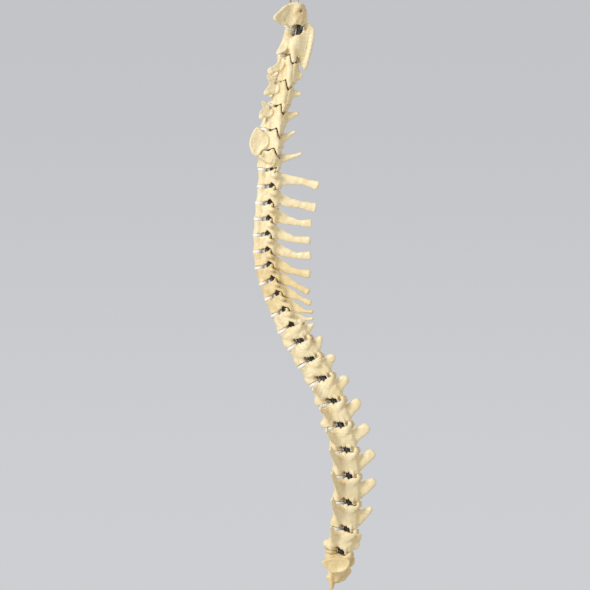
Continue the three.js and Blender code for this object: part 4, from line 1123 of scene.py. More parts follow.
class NeckBone(Bone):
    """A cervical vertebra: closed side walls, wide arch on two pillars, and forked plates at the side."""

    step = 0.55
    girth = 21.0
    ventral = 17.0
    plates: dict[str, Outline] = {
        "cervical_3": [
            (0.2, 11.4), (3.8, 10.4), (5, 4), (3.8, -1.6), (1.1, -3), (-2.7, -5.2), (-5.8, -8.2),
            (-9.1, -7.4), (-10.3, -4.2), (-8.2, -1), (-5, 1.8), (-2.5, 5.4),
        ],
        "cervical_4": [
            (-10.2, 15), (-8.6, 17.2), (-5.4, 17.2), (-1.3, 13.8), (3.4, 9.4), (5, 4.6), (4.2, 0.6),
            (1.1, -0.8), (-2.7, -2.6), (-5.8, -4.4), (-8.4, -3.2), (-8.9, -0.4), (-7, 3.6), (-6, 8.2),
            (-8.2, 12),
        ],
        "cervical_5": [
            (-9.1, 13.4), (-7.6, 15.4), (-4.6, 14.7), (-0.9, 11.8), (3.2, 8.4), (4.6, 4.6), (2.7, 1.4),
            (-0.3, 0), (-4.1, -2), (-7.2, -2), (-8.8, 1.2), (-8, 4.6), (-6.8, 8), (-7.8, 11),
        ],
        "cervical_6": [
            (-1.2, 8), (-4.8, 11.2), (-7.9, 12.2), (-11.1, 7.8), (-13.4, 1.6), (-13.8, -4.4), (-12.3, -10.4),
            (-8.8, -16), (-4.8, -17.2), (-2, -14.8), (-0.8, -11.2), (3.4, -8), (6, -2.2), (4.4, 3.9),
        ],
        "cervical_7": [
            (-2.2, 8), (-3, 4.2), (-0.4, 0.4), (4.6, -2.4), (9.6, -3.4), (11, 2), (8.6, 7.8), (3, 9.6),
        ],
    }
    waists = {"cervical_3": (-4.8, -6), "cervical_4": (-4.8, -5), "cervical_5": (-7.4, -3)}

    def wall(self, clay: Clay) -> None:
        """Adds the closed wall from the body to the pillar, with a shallow groove along it."""
        top, end = self.site.up(6, -2.2)[1], self.site.low(6, 2.4)[1]
        aft = self.site.low(CORE_X, self.joint.notch_aft - 2.8)[1]
        x, _ = clay.plane
        middle = 6.9 + 0.16 * np.clip(x, 0, 14) - 0.7 * np.exp(-((x - 5.4) ** 2) / 6)
        clay.panel([
            (-0.6, top - 3.4), (2.2, top + 0.6), (7, top + 1.4), (11, top + 1.4), (13, 0),
            (12, aft + 1), (8.4, end - 0.2), (5, end - 1), (1.2, end - 0.6), (-0.6, 0),
        ], middle, 3.4, 0, 1.8, 0.6)

    def pillars(self, clay: Clay) -> None:
        """Adds the upright pillars with their facets, and the roof between them."""
        up, low, joint = self.site.up, self.site.low, self.joint
        outer, foot = self.kind.arch_width / 2, joint.arch_width / 2
        wide = min(2.9, foot - 4.6)
        start = FACET_LINES[self.site.above.row.name][0]
        end = FACET_LINES[self.name][1] if joint.region is Region.NECK else 13.4
        b, c = up(start + 0.4, -4.6), low(end - 0.4, 4.6)
        clay.limb([
            station(up(start - 1.6, 0.8), outer - 2.8, 2.5, 2.1), station(b, outer - 2.9, 2.9, 2.8),
            ((b[0] + c[0]) / 2, outer - 3.2, 0, 2.7, 2.6), station(c, foot - 2.9, wide, 2.8),
            station(low(end + 1.8, -3.6), foot - 3.2, wide - 0.2, 2.6),
        ], blend=2.2)
        e, f = up(15.2, -3.2), low(16.8, -joint.facet_lap + 0.6)
        clay.limb([
            (e[0] - 0.6, 0, e[1], outer - 3, 2.3), (15.6, 0, 0, outer - 3.2, 2.7),
            (f[0] - 0.4, 0, f[1], foot - 3.2, 2.4),
        ], blend=2.6, cap=0.8)

    def shape(self, clay: Clay) -> None:
        """Builds the bone up."""
        self.body(clay)
        x, z = self.waists.get(self.name, (-8.4, 0))
        clay.limb([(x, y, z, 4.4, 4.4) for y in (-1, 12)], side=ALONG, blend=2, cut=True)
        if x < -6:
            low = self.site.low(-4.4, 3.2)
            clay.limb([
                (-3.6, 0, self.half - 4.5, 1.4, 1.4), (-4.2, 0, 0, 1.3, 1.5),
                (low[0] - 0.8, 0, low[1], 2.2, 2.2),
            ], blend=2.6)
        self.foot(clay)
        self.wall(clay)
        self.pillars(clay)
        tip = self.row.tip / 2
        self.spine(clay, (
            (0, 2.4, 5.2), (0.3, 2, (5.2 + tip) / 2), (0.62, 1.7, tip * 1.05), (0.9, 1.9, tip),
            (0.98, 1.8, tip * 0.9),
        ), 2.6)
        self.sides(clay)

    def sides(self, clay: Clay) -> None:
        """Adds the plates at the sides, which differ from bone to bone."""
        x, z = clay.plane
        plate = self.plates[self.name]
        if self.name == "cervical_7":
            clay.panel(plate, 10.2, 4.6, 0, 2.4, 1.6)
            clay.limb([(1, 9, 4, 3.2, 2.4), (0.2, 13.2, 5.6, 2.5, 2)], side=ALONG, blend=2.2)
            outline = [self.site.up(a, b) for a, b in ((-6, -5), (0.4, -5), (0.4, 2), (-6, 2))]
            clay.plate(outline, 9, 15, 0.5, 0.3, cut=True)
            return
        if self.name == "cervical_6":
            middle = 9 + 0.3 * np.clip(3 - x, 0, 12)
            middle = middle - 1.3 * np.exp(-(((x + 5) / 5.5) ** 2) - ((z + 5) / 6.5) ** 2)
            clay.limb([(2, 7.4, 1, 5, 2), (-2, 8.6, 0, 5.4, 1.8)], side=ALONG, blend=2)
            clay.panel(plate, middle, 2.6, 0.8, 1.6, 1)
            return
        clay.panel(plate, 9 + 0.62 * np.clip(1 - x, 0, 12), 2.8, 0.35, 1.8, 1.1)
        knob = (-7.6, -5.4) if self.name == "cervical_3" else (-6, -1.2)
        clay.ball((knob[0], 9 + 0.62 * (1 - knob[0]), knob[1]), (2.8, 2.4, 3), 1.8)
        clay.ball((0.6, 10.6, self.half - 2), (1.9, 2.2, 2.2), 0.9, cut=True)
        clay.limb([
            (5, 10.4, 0, 1.4, 1.2), (5.6, 9.8, -5, 1.8, 1.8), (6.2, 9.8, -self.half + 4, 1.8, 1.8),
        ], blend=1.2, cut=True)


class AxisBone(NeckBone):
    """The second cervical vertebra: shoulders, dens, and a blade that overhangs both of its neighbours."""

    step = 0.5
    crown = 15.0
    drum = (
        (-0.08, 12, 5.2), (0.1, 11.6, 5.2), (0.26, 9.2, 4.8), (0.5, 7, 4.6), (0.75, 7, 5), (0.92, 8, 5.6),
        (1.1, 8.2, 5.6),
    )
    crest: Outline = [
        (12.8, 19.6), (14.9, 24), (17.6, 25.6), (21, 23.8), (24.4, 20), (25.8, 13), (26.4, 3.5),
        (27, -8.1), (27.2, -16.5), (25.8, -21.4), (22.4, -22), (19, -20), (15.6, -16.4), (12, -11),
        (10, -6), (10, 3), (11.4, 8), (12.4, 14.6),
    ]
    flank: Outline = [
        (-2.2, 3), (2.4, 2), (4.2, -4), (3.4, -8.6), (0.6, -10.6), (-2, -13.8), (-5, -13.9),
        (-5.2, -11), (-3.6, -5),
    ]

    def body(self, clay: Clay) -> None:
        """Adds the body with its keel, and the dens."""
        up = self.site.up
        line = [station(self.stretch(share), 0, wide, deep) for share, wide, deep in self.drum]
        clay.limb(line, blend=0.8, cap=0.3)
        clay.limb([(-3.4, 0, 8, 1.4, 1.4), (-4, 0, -4, 1.3, 1.5), (-3.8, 0, -9.6, 2.2, 2)], blend=2.4)
        self.level(clay, up, 0, 1)
        self.foot(clay)
        dens = ((2.9, -3, 2.1), (2.9, 5, 2), (3.1, 6.6, 1.3))
        clay.limb([station(up(x, z), 0, r, r) for x, z, r in dens], blend=0.5)

    def shape(self, clay: Clay) -> None:
        """Builds the bone up."""
        up, low = self.site.up, self.site.low
        self.body(clay)
        top, end = up(CORE_X, -3.2)[1], low(CORE_X, self.joint.notch_aft - 2.4)[1]
        middle, half = (top + end) / 2, (top - end) / 2
        clay.limb([(x, y, middle + shift, half + more, thick) for x, y, shift, more, thick in (
            (1, 6.4, -2, -1, 2.6), (5.4, 6.9, -1, -0.4, 2.3), (9, 8.2, -1.2, 0.4, 2.7),
            (12.4, 6.6, -0.2, 2.4, 2.6), (16, 3.6, 1.4, 5.4, 2.2), (20, 1.5, 2, 7, 1.5),
        )], side=ALONG, blend=2.4, cap=0.8)
        clay.limb([
            (8.6, 8.6, 3, 2, 2.6), (9.6, 9.2, -4, 2.6, 2.8), (11.6, 9.5, -9.6, 2.8, 2.8),
            station(low(13.6, -3.6), 9.4, 2.6, 2.6),
        ], blend=2.6)
        clay.panel(self.crest, 0, 3.4, 0.35, 2.4, 1.2)
        clay.limb([
            (15.4, 0, 21.8, 2.1, 2), (20, 0, 20.6, 2.1, 2), (23.6, 0, 14, 1.9, 1.8), (24.8, 0, 2, 1.9, 1.8),
            (25, 0, -10, 2.1, 2), (24, 0, -18.6, 2.7, 2.6), (18.6, 0, -17, 2, 2),
        ], blend=2.6)
        _, z = clay.plane
        clay.panel(self.flank, 8.4 + 0.5 * np.clip(-2 - z, 0, 12), 3, 0.4, 2.6, 1.2)
        clay.ball((5.2, 11.6, -9.6), (2, 2.6, 2.6), 1, cut=True)
        near = up(8.9, 2.65)
        clay.limb([station(near, y, 5.3, 5.5) for y in (5.4, 30)], side=ALONG, blend=0.9, cap=0.2, cut=True)


class SacrumBone(LoinBone):
    """The sacrum: a fused, tapering bone with an ear at each side, a knobbed crest and two tail spikes."""

    girth = 25.0
    ear: Outline = [
        (-6.6, 7.6), (-3.2, 10.8), (1.9, 12.8), (7, 13.9), (12.4, 14.2), (20.2, 13), (22.2, 10),
        (22, 6), (18.3, 1.6), (13.3, -0.8), (7.1, -2), (1.4, 0.6),
    ]
    crest: Outline = [
        (8, 19), (14, 21.6), (19.4, 21.4), (21.3, 18.6), (20.6, 14), (19.4, 9.6), (19.4, 4.4), (21.2, 0.6),
        (21, -2.4), (18.8, -6.2), (16.2, -8.8), (13.4, -10), (10.6, -12), (6.8, -13.4), (4, -10), (5, 2),
    ]

    def shape(self, clay: Clay) -> None:
        """Builds the bone up."""
        up = self.site.up
        clay.limb([
            station(up(0, 2), 0, 9.6, 6.6), (0.2, 0, 11, 9, 6), (1.6, 0, 0, 7.6, 4.6),
            (2.2, 0, -9, 6.2, 3.6), (2.6, 0, -15, 5, 2.6),
        ], blend=0.8, cap=0.5)
        self.level(clay, up, -self.kind.disc / 2, 1)
        clay.limb([
            station(up(CORE_X, -3.2), 0, 10, 7.4), (CORE_X, 0, 3, 9.2, 7.2), (9.2, 0, -4, 7.6, 6),
            (6.6, 0, -12, 5.8, 3.8),
        ], blend=2.4, cap=0.3)
        self.hooks(clay)
        clay.panel(self.crest, 0, 4.4, 0.5, 3, 1.6)
        for x, z, long in ((18.6, 18, 2.6), (18.8, -1, 2.8), (13.4, -8.4, 2)):
            clay.ball((x, 0, z), (2.2, 2.6, long), 2)
        clay.limb([(3, 7, 8.6, 4.6, 5.4), (6.4, 15, 7.2, 5.4, 7.4)], side=ALONG, blend=3)
        x, z = clay.plane
        dish = np.exp(-(((x - 8) / 8) ** 2) - ((z - 6.4) / 4.6) ** 2)
        clay.panel(self.ear, 19 - 1.5 * dish, 4.4, 0.5, 2.4, 1.3)
        for z0, y in ((1.4, 6.8), (-6.8, 5.6)):
            clay.ball((15, y, z0), (2.8, 1.7, 1.8), 1, cut=True)
            clay.ball((-3.4, y - 1, z0), (2.4, 1.6, 1.7), 1, cut=True)
        clay.ball((-0.6, 5.2, -8), (2.4, 2, 2.6), 1.8)
        clay.limb([(1.6, 4.4, -9, 3.2, 2.6), (2.8, 5, -15, 2.3, 2.1), (2.6, 5.2, -19.4, 1.4, 1.4)], blend=1.8)

    def canal(self, clay: Clay) -> None:
        """Bores the canal, which ends inside the bone."""
        wide = self.kind.canal / 2
        start = station(self.site.up(CORE_X, self.kind.facet_lap + 4), 0, wide, wide)
        clay.limb([start, *((CORE_X, 0, z, wide, wide) for z in (0, -6))], blend=0.5, cut=True)


class AtlasBone(Bone):
    """The first cervical vertebra: a ring whose two broad wings fan out ventrally, over its whole length."""

    step = 0.5
    fan: Outline = [
        (9, 11.8), (3.6, 12.6), (-1.1, 11.2), (-5.2, 7.2), (-9.2, 2), (-13.4, -5.4), (-11.6, -8.6),
        (-7.4, -12.8), (-4, -12.6), (-1.8, -11.9), (3.8, -11), (8.6, -10.6), (12.6, -8), (13.6, 2), (12, 9),
    ]
    rim = (
        (-0.6, 14.2, 10.6), (-4.9, 18.8, 6.6), (-8.9, 23.2, 1.4), (-12.4, 27.4, -4.8), (-10.8, 26, -8.6),
        (-7, 21.6, -12),
    )

    def __init__(self, layout: Layout) -> None:
        """Takes the bone's place from the layout.

        Args:
            layout: the column's line.
        """
        self.place, self.shoulders = layout.atlas, layout.shoulders
        self.half = ATLAS_LENGTH / 2
        self.name, self.seed = "atlas_c1", 7

    def grid(self) -> Clay:
        """Gives empty clay that is large enough for the bone."""
        return Clay((-18, -17), (20, 32.5, 16.5), self.step)

    def shape(self, clay: Clay) -> None:
        """Builds the bone up."""
        half = self.half
        clay.limb([
            (4.2, 0, half - 0.4, 11.4, 6.8), (5, 0, half - 4, 12.6, 8), (6, 0, -1, 13.2, 9.2),
            (6, 0, -half + 5, 12.8, 9), (5.6, 0, -half + 0.6, 12.2, 7.6),
        ], blend=0.8, cap=0.1)
        x, _ = clay.plane
        swept = 11.3 + 1.12 * 2 * np.log1p(np.exp((1.6 - x) / 2))
        clay.panel(self.fan, swept - 0.06 * np.clip(x - 5, 0, 12) ** 2, 3, 0.55, 2.6, 1.2)
        clay.limb([(*p, 1.3, 1.3) for p in self.rim], blend=1.6)
        clay.ball((5.4, 9.4, half - 1.8), (4.6, 3.6, 2.8), 1.8)
        clay.ball((2.4, 10.8, -half + 2.2), (3.6, 3.6, 2.6), 1.8)
        clay.limb([(13.4, 0, 5, 1.6, 1.6), (14.4, 0, -3, 1.7, 1.7)], blend=2.4)
        leg = -LOOP_SPAN / 2 + 1
        clay.limb([(leg, 0, half - 0.6, 2.9, 2.6), (leg + 0.4, 0, half - 9.6, 2.9, 2.4)], blend=1.8, cap=0.4)

    def free(self, clay: Clay) -> None:
        """Makes the cuts: the wide canal, the notches and holes, the wire's socket and the lower face."""
        half, place = self.half, self.place
        clay.limb([
            (3.8, 0, half + 5, 7.4, 3.2), (5.4, 0, 6, 8.8, 6.2), (6.2, 0, -2, 9.4, 6.6),
            (6.4, 0, -half - 5, 9.8, 6),
        ], blend=1, cut=True)
        notch = [(10, -half - 6), (10.6, -10.2), (13.2, -9.4), (19.5, -3), (24, -half - 6)]
        clay.plate(notch, -20, 20, 1.2, 0.2, cut=True)
        clay.limb([(9, y, -14.1, 5.4, 5.6) for y in (6, 32)], side=ALONG, blend=0.9, cap=0.2, cut=True)
        clay.ball((10.6, 12, 5.2), (1.2, 3, 1.2), 0.9, cut=True)
        clay.ball((-3, 19.6, -6.4), (1.5, 2.4, 1.6), 0.8, cut=True)
        clay.ball((5.8, 9.8, half + 2), (3.4, 2.6, 3.4), 0.6, cut=True)
        ends = (-(LOOP_RISE + LOOP_SOCKET), 4 - LOOP_RISE)
        socket = [station(place.of(WORLD, -LOOP_SPAN / 2, z), 0, 1.25, 1.25) for z in ends]
        clay.limb(socket, blend=0.3, cut=True)
        self.level(clay, lambda dorsal, cranial: place.of(self.shoulders, dorsal, PAD_GAP + cranial), 0, -1)


SPACER_RIM = (
    (0.3, 1), (0.7, 1), (0.9, 0.98), (0.985, 0.86), (1.03, 0.5), (1.045, 0), (1.03, -0.5), (0.985, -0.86),
    (0.9, -0.98),
)
FERRULE_RIM = (
    (2.55, 0.3), (2.55, -2.7), (2.7, -3.0), (3.2, -3.0), (3.4, -2.8), (3.4, -2.2), (3.15, -1.9), (3.15, -1.5),
    (3.4, -1.2), (3.4, -0.4), (3.15, -0.1), (3.15, 0.3), (3.4, 0.6), (3.4, 1.5), (3.1, 1.8),
)


def spline(knots: Outline, each: int) -> np.ndarray:
    """Draws a smooth line through points in x and z.

    Args:
        knots: the points to run through.
        each: how many steps lie between two of them.

    Returns:
        The line's points, the first and last knots included.
    """
    p = np.array([2 * np.array(knots[0]) - knots[1], *knots, 2 * np.array(knots[-1]) - knots[-2]], float)
    line = []
    for a, b, c, d in zip(p, p[1:], p[2:], p[3:]):
        one, two, three = (math.sqrt(float(np.linalg.norm(way))) for way in (b - a, c - b, d - c))
        m1 = c - b + two * ((b - a) / one - (c - a) / (one + two))
        m2 = c - b + two * ((d - c) / three - (d - b) / (two + three))
        for t in np.arange(each) / each:
            ends = (2 * t**3 - 3 * t**2 + 1) * b + (t**3 - 2 * t**2 + t) * m1
            line.append(ends + (3 * t**2 - 2 * t**3) * c + (t**3 - t**2) * m2)
    line.append(p[-2])
    return np.array(line)


def lengths(line: np.ndarray) -> np.ndarray:
    """Gives how far along a line each of its points lies."""
    return np.concatenate([[0], np.cumsum(np.linalg.norm(np.diff(line, axis=0), axis=1))])


def tube(
    line: np.ndarray,
    radii: np.ndarray,
    lobes: int = 0,
    depth: float = 0.0,
    twist: float = 0.0,
    start: float = 0.0,
) -> tuple[np.ndarray, np.ndarray]:
    """Sweeps a round or fluted section along a line in the plane of symmetry.

    Args:
        line: the line's points in x and z.
        radii: the radius at each point.
        lobes: how many flutes the section has.
        depth: how deep they are.
        twist: how far they turn with each mm, in radians.
        start: how far along the whole line this one starts, in mm.

    Returns:
        The points and the three-cornered faces of a closed solid.
    """
    sides = 48 if lobes else 24
    way = np.gradient(line, axis=0)
    way /= np.linalg.norm(way, axis=1)[:, None]
    along = start + lengths(line)
    turn = np.arange(sides) / sides * 2 * math.pi
    radius = radii[:, None] + depth * np.cos(lobes * turn[None, :] + twist * along[:, None])
    across = np.stack([-way[:, 1], way[:, 0]], axis=1)
    x = line[:, 0:1] + radius * np.cos(turn) * across[:, 0:1]
    z = line[:, 1:2] + radius * np.cos(turn) * across[:, 1:2]
    y = radius * np.sin(turn)
    points = np.stack([x, y, z], axis=2).reshape(-1, 3)
    return close_rings(points, len(line), sides)


def close_rings(points: np.ndarray, rings: int, sides: int) -> tuple[np.ndarray, np.ndarray]:
    """Joins rings of points into a closed solid, with a point in the middle of each end."""
    index = np.arange(rings * sides).reshape(rings, sides)
    nxt = np.roll(index, -1, axis=1)
    a, b, c, d = index[:-1], nxt[:-1], nxt[1:], index[1:]
    faces = [np.stack([a, b, c], axis=2).reshape(-1, 3), np.stack([a, c, d], axis=2).reshape(-1, 3)]
    first, last = rings * sides, rings * sides + 1
    faces.append(np.stack([nxt[0], index[0], np.full(sides, first)], axis=1))
    faces.append(np.stack([index[-1], nxt[-1], np.full(sides, last)], axis=1))
    points = np.vstack([points, points[:sides].mean(axis=0), points[-sides:].mean(axis=0)])
    return points, np.concatenate(faces)


class Spacer:
    """A white foam disc, fixed to the bone above it and let a little way into the bone below."""

    sides = 56

    def __init__(self, name: str, place: Place, wide: float, deep: float, thick: float) -> None:
        """Takes the disc's sizes.

        Args:
            name: the name of the CAD node that it stands for.
            place: where it lies.
            wide: its width.
            deep: its depth.
            thick: its thickness.
        """
        self.name, self.place = name, place
        self.wide, self.deep, self.thick = wide / 2, deep / 2, thick / 2 - SPACER_PLAY

    def build(
        self, upper: str, lower: str | None = None, notch: tuple[float, float] | None = None
    ) -> bpy.types.Object:
        """Makes the disc and ties it to its body or bodies.

        Args:
            upper: the body above it.
            lower: the body below it, if the disc bends with both.
            notch: the x and the radius of an opening in it.

        Returns:
            The object, in place.
        """
        random = np.random.default_rng(sum(map(ord, self.name)))
        turn = np.arange(self.sides) / self.sides * 2 * math.pi
        wobble = 1 + 0.012 * np.sin(3 * turn + random.uniform(0, 6))
        wobble = wobble + 0.008 * np.sin(7 * turn + random.uniform(0, 6))
        base = 1.0 if lower else 1.0 + LET_IN / self.thick
        rings = []
        for out, rise in (*SPACER_RIM, (0.89, -base), (0.7, -base), (0.3, -base)):
            x, y = self.deep * out * wobble * np.cos(turn), self.wide * out * wobble * np.sin(turn)
            if notch:
                centre, radius = notch
                edge = np.minimum(x, centre - np.sqrt(np.maximum(radius**2 - y**2, 0)))
                x = np.where((np.abs(y) < radius) & (x > 0), edge, x)
            rings.append(np.stack([x, y, np.full(self.sides, self.thick * rise)], axis=1))
        points, faces = close_rings(np.concatenate(rings), len(rings), self.sides)
        made = make_mesh(self.name.replace("_", "-"), self.place.world(points), faces)
        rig.replaces(made, self.name)
        if lower:
            start, end = (self.place.metres(0, side * self.thick * 0.6) for side in (1, -1))
            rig.blend(made, upper, lower, start=start, end=end)
            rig.padded(made, fill=1.0)
        else:
            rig.ride(made, upper)
        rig.slot(made, "foam")
        return made


class Core:
    """The dark flexible core, in lengths that ride on the bones and end out of sight in the next canal."""

    steps = 6

    def __init__(self, layout: Layout) -> None:
        """Draws the core's line.

        Args:
            layout: the column's line.
        """
        self.layout = layout
        top, sites = layout.atlas_top, layout.sites
        last = sites[-1]
        end = last.row.pitch / 2 - CORE_TAIL
        knots = [top.at(CORE_TOP_X, -CORE_TOP_DROP - drop) for drop in (0, 3)]
        knots.append(layout.shoulders.at(CORE_X, 0))
        for site in sites[:-1]:
            knots += [site.place.at(CORE_X, 0), site.foot.at(CORE_X, 0)]
        knots += [last.place.at(CORE_X, end + 3), last.place.at(CORE_X, end)]
        self.line = spline(knots, self.steps)
        self.along = lengths(self.line)
        self.joints = [float(self.along[self.steps * (2 + 2 * i)]) for i in range(len(sites))]

    def build(self) -> list[bpy.types.Object]:
        """Makes the lengths of core and ties each to its bone.

        Returns:
            The objects, from the top down.
        """
        made = [self._length(1, 0.0, self.joints[0] + CORE_PAST, CORE_NECK, NECK.core)]
        start, end = (self.layout.shoulders.metres(CORE_X, rise) for rise in (3.0, -3.0))
        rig.blend(made[0], "atlas", "axis", start=start, end=end)
        for i, site in enumerate(self.layout.sites):
            start = self.joints[i] + CORE_PAST + CORE_GAP
            end = self.joints[i + 1] + CORE_PAST if site.below else float(self.along[-1])
            radius = min(site.row.pattern.core, site.joint.core)
            piece = self._length(i + 2, start, end, radius, radius if site.below else CORE_NECK)
            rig.ride(piece, Layout.body(site.row.name))
            made.append(piece)
        return made

    def _length(self, number: int, start: float, end: float, first: float, last: float) -> bpy.types.Object:
        """Makes one length of core.

        Args:
            number: the length's number, from the top down.
            start: how far along the whole line it starts, in mm.
            end: how far along it ends.
            first: its radius at its upper end.
            last: its radius at its lower end.

        Returns:
            The object, without a body.
        """
        way = np.linspace(start, end, max(4, round((end - start) / 1.6)))
        part = np.stack([np.interp(way, self.along, self.line[:, axis]) for axis in (0, 1)], axis=1)
        wide = max(first, last)
        spots = [start, start + CORE_GRIP, start + CORE_GRIP + 1, end - CORE_GRIP - 1, end - CORE_GRIP, end]
        radii = np.interp(way, spots, [first, first, wide, wide, last, last])
        points, faces = tube(part, radii, lobes=9, depth=0.1, twist=0.05, start=start)
        piece = make_mesh(f"core-{number}", points * MM, faces)
        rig.replaces(piece, "core_rod")
        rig.slot(piece, "core")
        return piece


class Hanger:
    """The wire loop that the model hangs by, and the crimps at the two ends of the core."""

    sides = 40

    def __init__(self, layout: Layout) -> None:
        """Takes its place from the layout."""
        self.layout = layout

    def build(self) -> list[bpy.types.Object]:
        """Makes the loop and the two ferrules."""
        return [self._loop(), self._ferrule("loop_ferrule", 1), self._ferrule("end_ferrule", -1)]

    def _loop(self) -> bpy.types.Object:
        """Makes the bent wire."""
        half, foot, bend = LOOP_SPAN / 2, -LOOP_RISE, LOOP_RADIUS - LOOP_SPAN / 2
        knots = [(-half, z) for z in (foot - LOOP_SOCKET + 0.1, foot, foot / 2, bend)]
        for turn in map(math.radians, (135, 90, 45)):
            knots.append((half * math.cos(turn), bend + half * math.sin(turn)))
        knots += [(half, z) for z in (bend, foot / 2, foot)]
        knots += [self.layout.atlas_top.at(CORE_TOP_X, -CORE_TOP_DROP + rise) for rise in (4.8, 0.35)]
        line = spline(knots, 8)
        points, faces = tube(line, np.full(len(line), LOOP_RADIUS))
        made = make_mesh("hanging-loop", points * MM, faces)
        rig.replaces(made, "hanging_loop")
        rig.ride(made, "atlas")
        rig.slot(made, "brass")
        return made

    def _ferrule(self, name: str, sense: int) -> bpy.types.Object:
        """Makes a crimped sleeve, whose mouth opens down, or up where sense is -1."""
        if sense > 0:
            place, body, inner = self.layout.atlas_top.moved(CORE_TOP_X, -CORE_TOP_DROP), "atlas", 1.25
        else:
            last = self.layout.sites[-1]
            place, body, inner = last.place.moved(CORE_X, last.row.pitch / 2 - CORE_TAIL), "sacrum", 0.4
        turn = np.arange(self.sides) / self.sides * 2 * math.pi
        rings = [
            np.stack([r * np.cos(turn), r * np.sin(turn), np.full(self.sides, z * sense)], axis=1)
            for r, z in (*FERRULE_RIM, (inner, 1.8), (inner, 0.3))
        ]
        points = np.concatenate(rings)
        index = np.arange(len(points)).reshape(len(rings), self.sides)
        below, nxt = np.roll(index, -1, axis=0), np.roll(index, -1, axis=1)
        quads = np.stack([index, below, np.roll(below, -1, axis=1), nxt], axis=2).reshape(-1, 4)
        made = make_mesh(name.replace("_", "-"), place.world(points), quads if sense > 0 else quads[:, ::-1])
        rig.replaces(made, name)
        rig.ride(made, body)
        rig.slot(made, "brass")
        return made


def linear(colour: str) -> tuple[float, float, float, float]:
    """Turns a colour such as #F3E6C0 into linear light."""
    parts = [int(colour[i : i + 2], 16) / 255 for i in (1, 3, 5)]
    r, g, b = (c / 12.92 if c <= 0.04045 else ((c + 0.055) / 1.055) ** 2.4 for c in parts)
    return r, g, b, 1.0


class Recipe:
    """A material's nodes, added one call at a time."""

    def __init__(self, tree: bpy.types.NodeTree) -> None:
        """Starts from an empty tree."""
        self.tree = tree
        tree.nodes.clear()

    def add(
        self, kind: str, inputs: dict[str | int, object] | None = None, **settings: object
    ) -> bpy.types.Node:
        """Adds a node with its settings, its values and its links.

        Args:
            kind: the node's type, without its ShaderNode prefix.
            inputs: a value, a colour such as #F3E6C0 or an output socket for each input.
            **settings: the node's own properties.

        Returns:
            The node.
        """
        node = self.tree.nodes.new("ShaderNode" + kind)
        for key, value in settings.items():
            setattr(node, key, value)
        for key, value in (inputs or {}).items():
            if isinstance(value, bpy.types.NodeSocket):
                self.tree.links.new(value, node.inputs[key])
            else:
                node.inputs[key].default_value = linear(value) if isinstance(value, str) else value
        return node

    def position(self, stretch: tuple[float, float, float] = (1, 1, 1)) -> bpy.types.NodeSocket:
        """Gives the place on the object in mm, stretched along each axis."""
        spot = self.add("TexCoord").outputs["Object"]
        scale = tuple(s / MM for s in stretch)
        return self.add("Mapping", {"Vector": spot, "Scale": scale}).outputs[0]

    def noise(
        self, size: float, detail: float = 3.0, stretch: tuple[float, float, float] = (1, 1, 1)
    ) -> bpy.types.NodeSocket:
        """Gives cloudy noise with patches of a size in mm."""
        inputs = {"Vector": self.position(stretch), "Scale": 1 / size, "Detail": detail}
        return self.add("TexNoise", inputs).outputs["Fac"]

    def ramp(
        self, value: bpy.types.NodeSocket, low: float, high: float, start: float = 0.0, end: float = 1.0
    ) -> bpy.types.NodeSocket:
        """Runs a value smoothly from start to end between low and high."""
        settings = {"Value": value, "From Min": low, "From Max": high, "To Min": start, "To Max": end}
        return self.add("MapRange", settings, interpolation_type="SMOOTHSTEP").outputs[0]

    def blend(self, share: object, one: object, two: object) -> bpy.types.NodeSocket:
        """Mixes two colours by a share."""
        return self.add("Mix", {0: share, 6: one, 7: two}, data_type="RGBA").outputs[2]

    def maths(self, operation: str, one: object, two: object) -> bpy.types.NodeSocket:
        """Works out a sum or a product of two values."""
        return self.add("Math", {0: one, 1: two}, operation=operation).outputs[0]

    def bump(
        self, height: bpy.types.NodeSocket, depth: float, before: bpy.types.NodeSocket | None = None
    ) -> bpy.types.NodeSocket:
        """Turns a height into a surface direction, where depth is in mm."""
        inputs: dict[str | int, object] = {"Height": height, "Distance": depth * MM, "Strength": 1.0}
        if before:
            inputs["Normal"] = before
        return self.add("Bump", inputs).outputs[0]

    def surface(self, **values: object) -> None:
        """Ends the material with its main shader, values keyed by its inputs' names."""
        shader = self.add("BsdfPrincipled", {key.replace("_", " "): value for key, value in values.items()})
        self.add("OutputMaterial", {"Surface": shader.outputs[0]})


class Finish:
    """A material, whose nodes each kind lays out in its own way."""

    name: str

    def lay(self, r: Recipe) -> None:
        """Lays out the nodes."""
        raise NotImplementedError

    def make(self) -> bpy.types.Material:
        """Builds the material."""
        made = bpy.data.materials.new(self.name)
        made.use_nodes = True
        self.lay(Recipe(made.node_tree))
        return made


